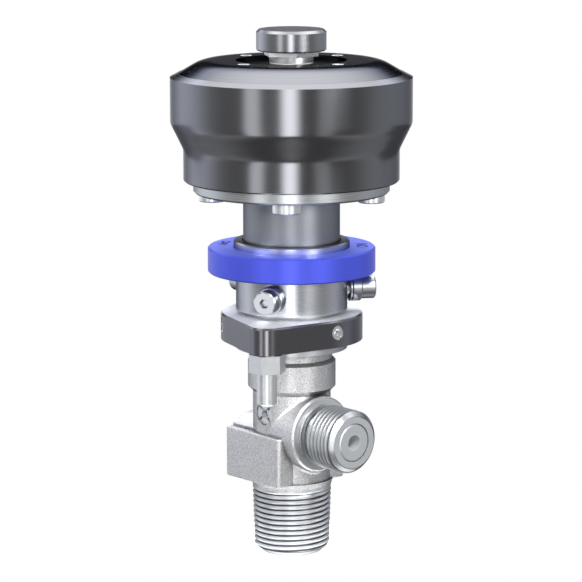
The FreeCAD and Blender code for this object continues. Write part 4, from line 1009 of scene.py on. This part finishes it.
wall = turned_shape("tent_wall", [(TENT_RADIUS / MM, TENT_FLOOR / MM),
                                  (TENT_RADIUS / MM, TENT_ROOF / MM)], steps=180, closed=False)
tent_cloth, tree = bare_material("tent_cloth")
place = coordinates(tree)
front = place["X"]
height = place["Z"]
turn = compute(tree, "ARCTAN2", place["Y"], front)
bands = add_node(tree, "ShaderNodeValToRGB", {"Fac": gate(tree, turn, -math.pi, math.pi)})
stops = bands.color_ramp.elements
stops.remove(stops[-1])
for index, (degrees, brightness) in enumerate(TENT_BANDS):
    stop = stops[0] if index == 0 else stops.new((degrees + 180) / 360)
    stop.position = (degrees + 180) / 360
    tint = REAR_TINT if abs(degrees) > 90 else (1.0, 1.0, 1.0)
    stop.color = [brightness / BAND_SCALE * channel for channel in tint] + [1]

dark_band = compute(tree, "SUBTRACT", gate(tree, height, 0.2, 0.3), gate(tree, height, 0.5, 0.7))
low_wall = compute(tree, "MULTIPLY", gate(tree, height, -0.085, -0.12), LOW_WALL)
dark = compute(tree, "MULTIPLY_ADD", dark_band, DARK_BAND, low_wall)
shade = compute(tree, "MULTIPLY", dark, gate(tree, front, -0.3, -0.6))
panel = compute(tree, "MULTIPLY", gate(tree, height, 0.6, 0.95), gate(tree, front, -1.05, -1.27))
raised = compute(tree, "MULTIPLY_ADD", panel, HIGH_PANEL, 1.0)
light = compute(tree, "SUBTRACT", raised, shade)
strength = compute(tree, "MULTIPLY", light, BAND_SCALE)
glow = add_node(tree, "ShaderNodeEmission",
                {"Color": bands.outputs["Color"], "Strength": strength})
add_node(tree, "ShaderNodeOutputMaterial", {"Surface": glow.outputs[0]})
hang(wall, tent_cloth)
print("Tent bands:", len(TENT_BANDS))

# %% [markdown]
# The roof and the floor are dim cloth with one soft-edged window each. The roof's window lies above
# and behind the valve and lights the tops, and the floor's window is a narrow strip in front. The
# floor is also lighter to the left and right, where the drum's cone looks down on it.

# %% Roof and floor of the tent
SOFT_EDGE = 0.15


def tent_cover(name, height, brightness, window, panel, sides=None):
    """A disc of dim cloth with a bright panel where the window is, front to back and sideways.

    Sides gives where the cloth starts to be lighter left and right, where it ends and how light.
    """
    cover = stage_disc(name, TENT_RADIUS, height)
    material, tree = bare_material(name + "_cloth")
    place = coordinates(tree)
    shares = []
    for axis, (low, high) in zip("XY", window):
        half = (high - low) / 2
        distance = off_middle(tree, place[axis], low, high)
        shares.append(gate(tree, distance, half + SOFT_EDGE, half - SOFT_EDGE))
    cloth = brightness
    if sides:
        near, far, lighter = sides
        outer = gate(tree, compute(tree, "ABSOLUTE", place["Y"]), near, far)
        cloth = spread(tree, outer, brightness, lighter)
    strength = spread(tree, compute(tree, "MULTIPLY", *shares), cloth, panel)
    glow = add_node(tree, "ShaderNodeEmission", {"Strength": strength})
    add_node(tree, "ShaderNodeOutputMaterial", {"Surface": glow.outputs[0]})
    hang(cover, material)


tent_cover("tent_roof", TENT_ROOF, 0.12, ((-1.3, 0.1), (-0.7, 0.85)), 2.7)
tent_cover("tent_floor", TENT_FLOOR, 0.13, ((0.0, 0.9), (-0.05, 0.05)), 0.6, (0.45, 0.9, 0.42))
print("Tent covers: roof and floor")

# %% [markdown]
# ## Light
#
# The world is plain white at strength 1, so that the background and the reflections of it are white.
# Three soft boxes give the light its direction: the key high above the camera and a little to its
# right, a wide fill on the left, and a small one low on the right.

# %% World and lamps
world = bpy.data.worlds.new("white_studio")
bpy.context.scene.world = world
world.use_nodes = True
background = world.node_tree.nodes["Background"]
background.inputs["Color"].default_value = (1, 1, 1, 1)
background.inputs["Strength"].default_value = 1.0
LAMP_DISTANCE = 1.1


def soft_box(name, turn_degrees, rise_degrees, side, power):
    """A square lamp that looks at the valve, turned from the camera's direction and raised."""
    lamp = bpy.data.lights.new(name, "AREA")
    lamp.shape = "SQUARE"
    lamp.size = side
    lamp.energy = power
    turn = VIEW_TURN + math.radians(turn_degrees)
    aim(add_object(name, lamp), direction(turn, math.radians(rise_degrees)), LAMP_DISTANCE)


soft_box("key_box", 12, 46, 0.3, 8)
soft_box("fill_box", -60, 26, 0.4, 6)
soft_box("side_box", 42, 13, 0.25, 6)
print("Lamps:", len(bpy.data.lights))
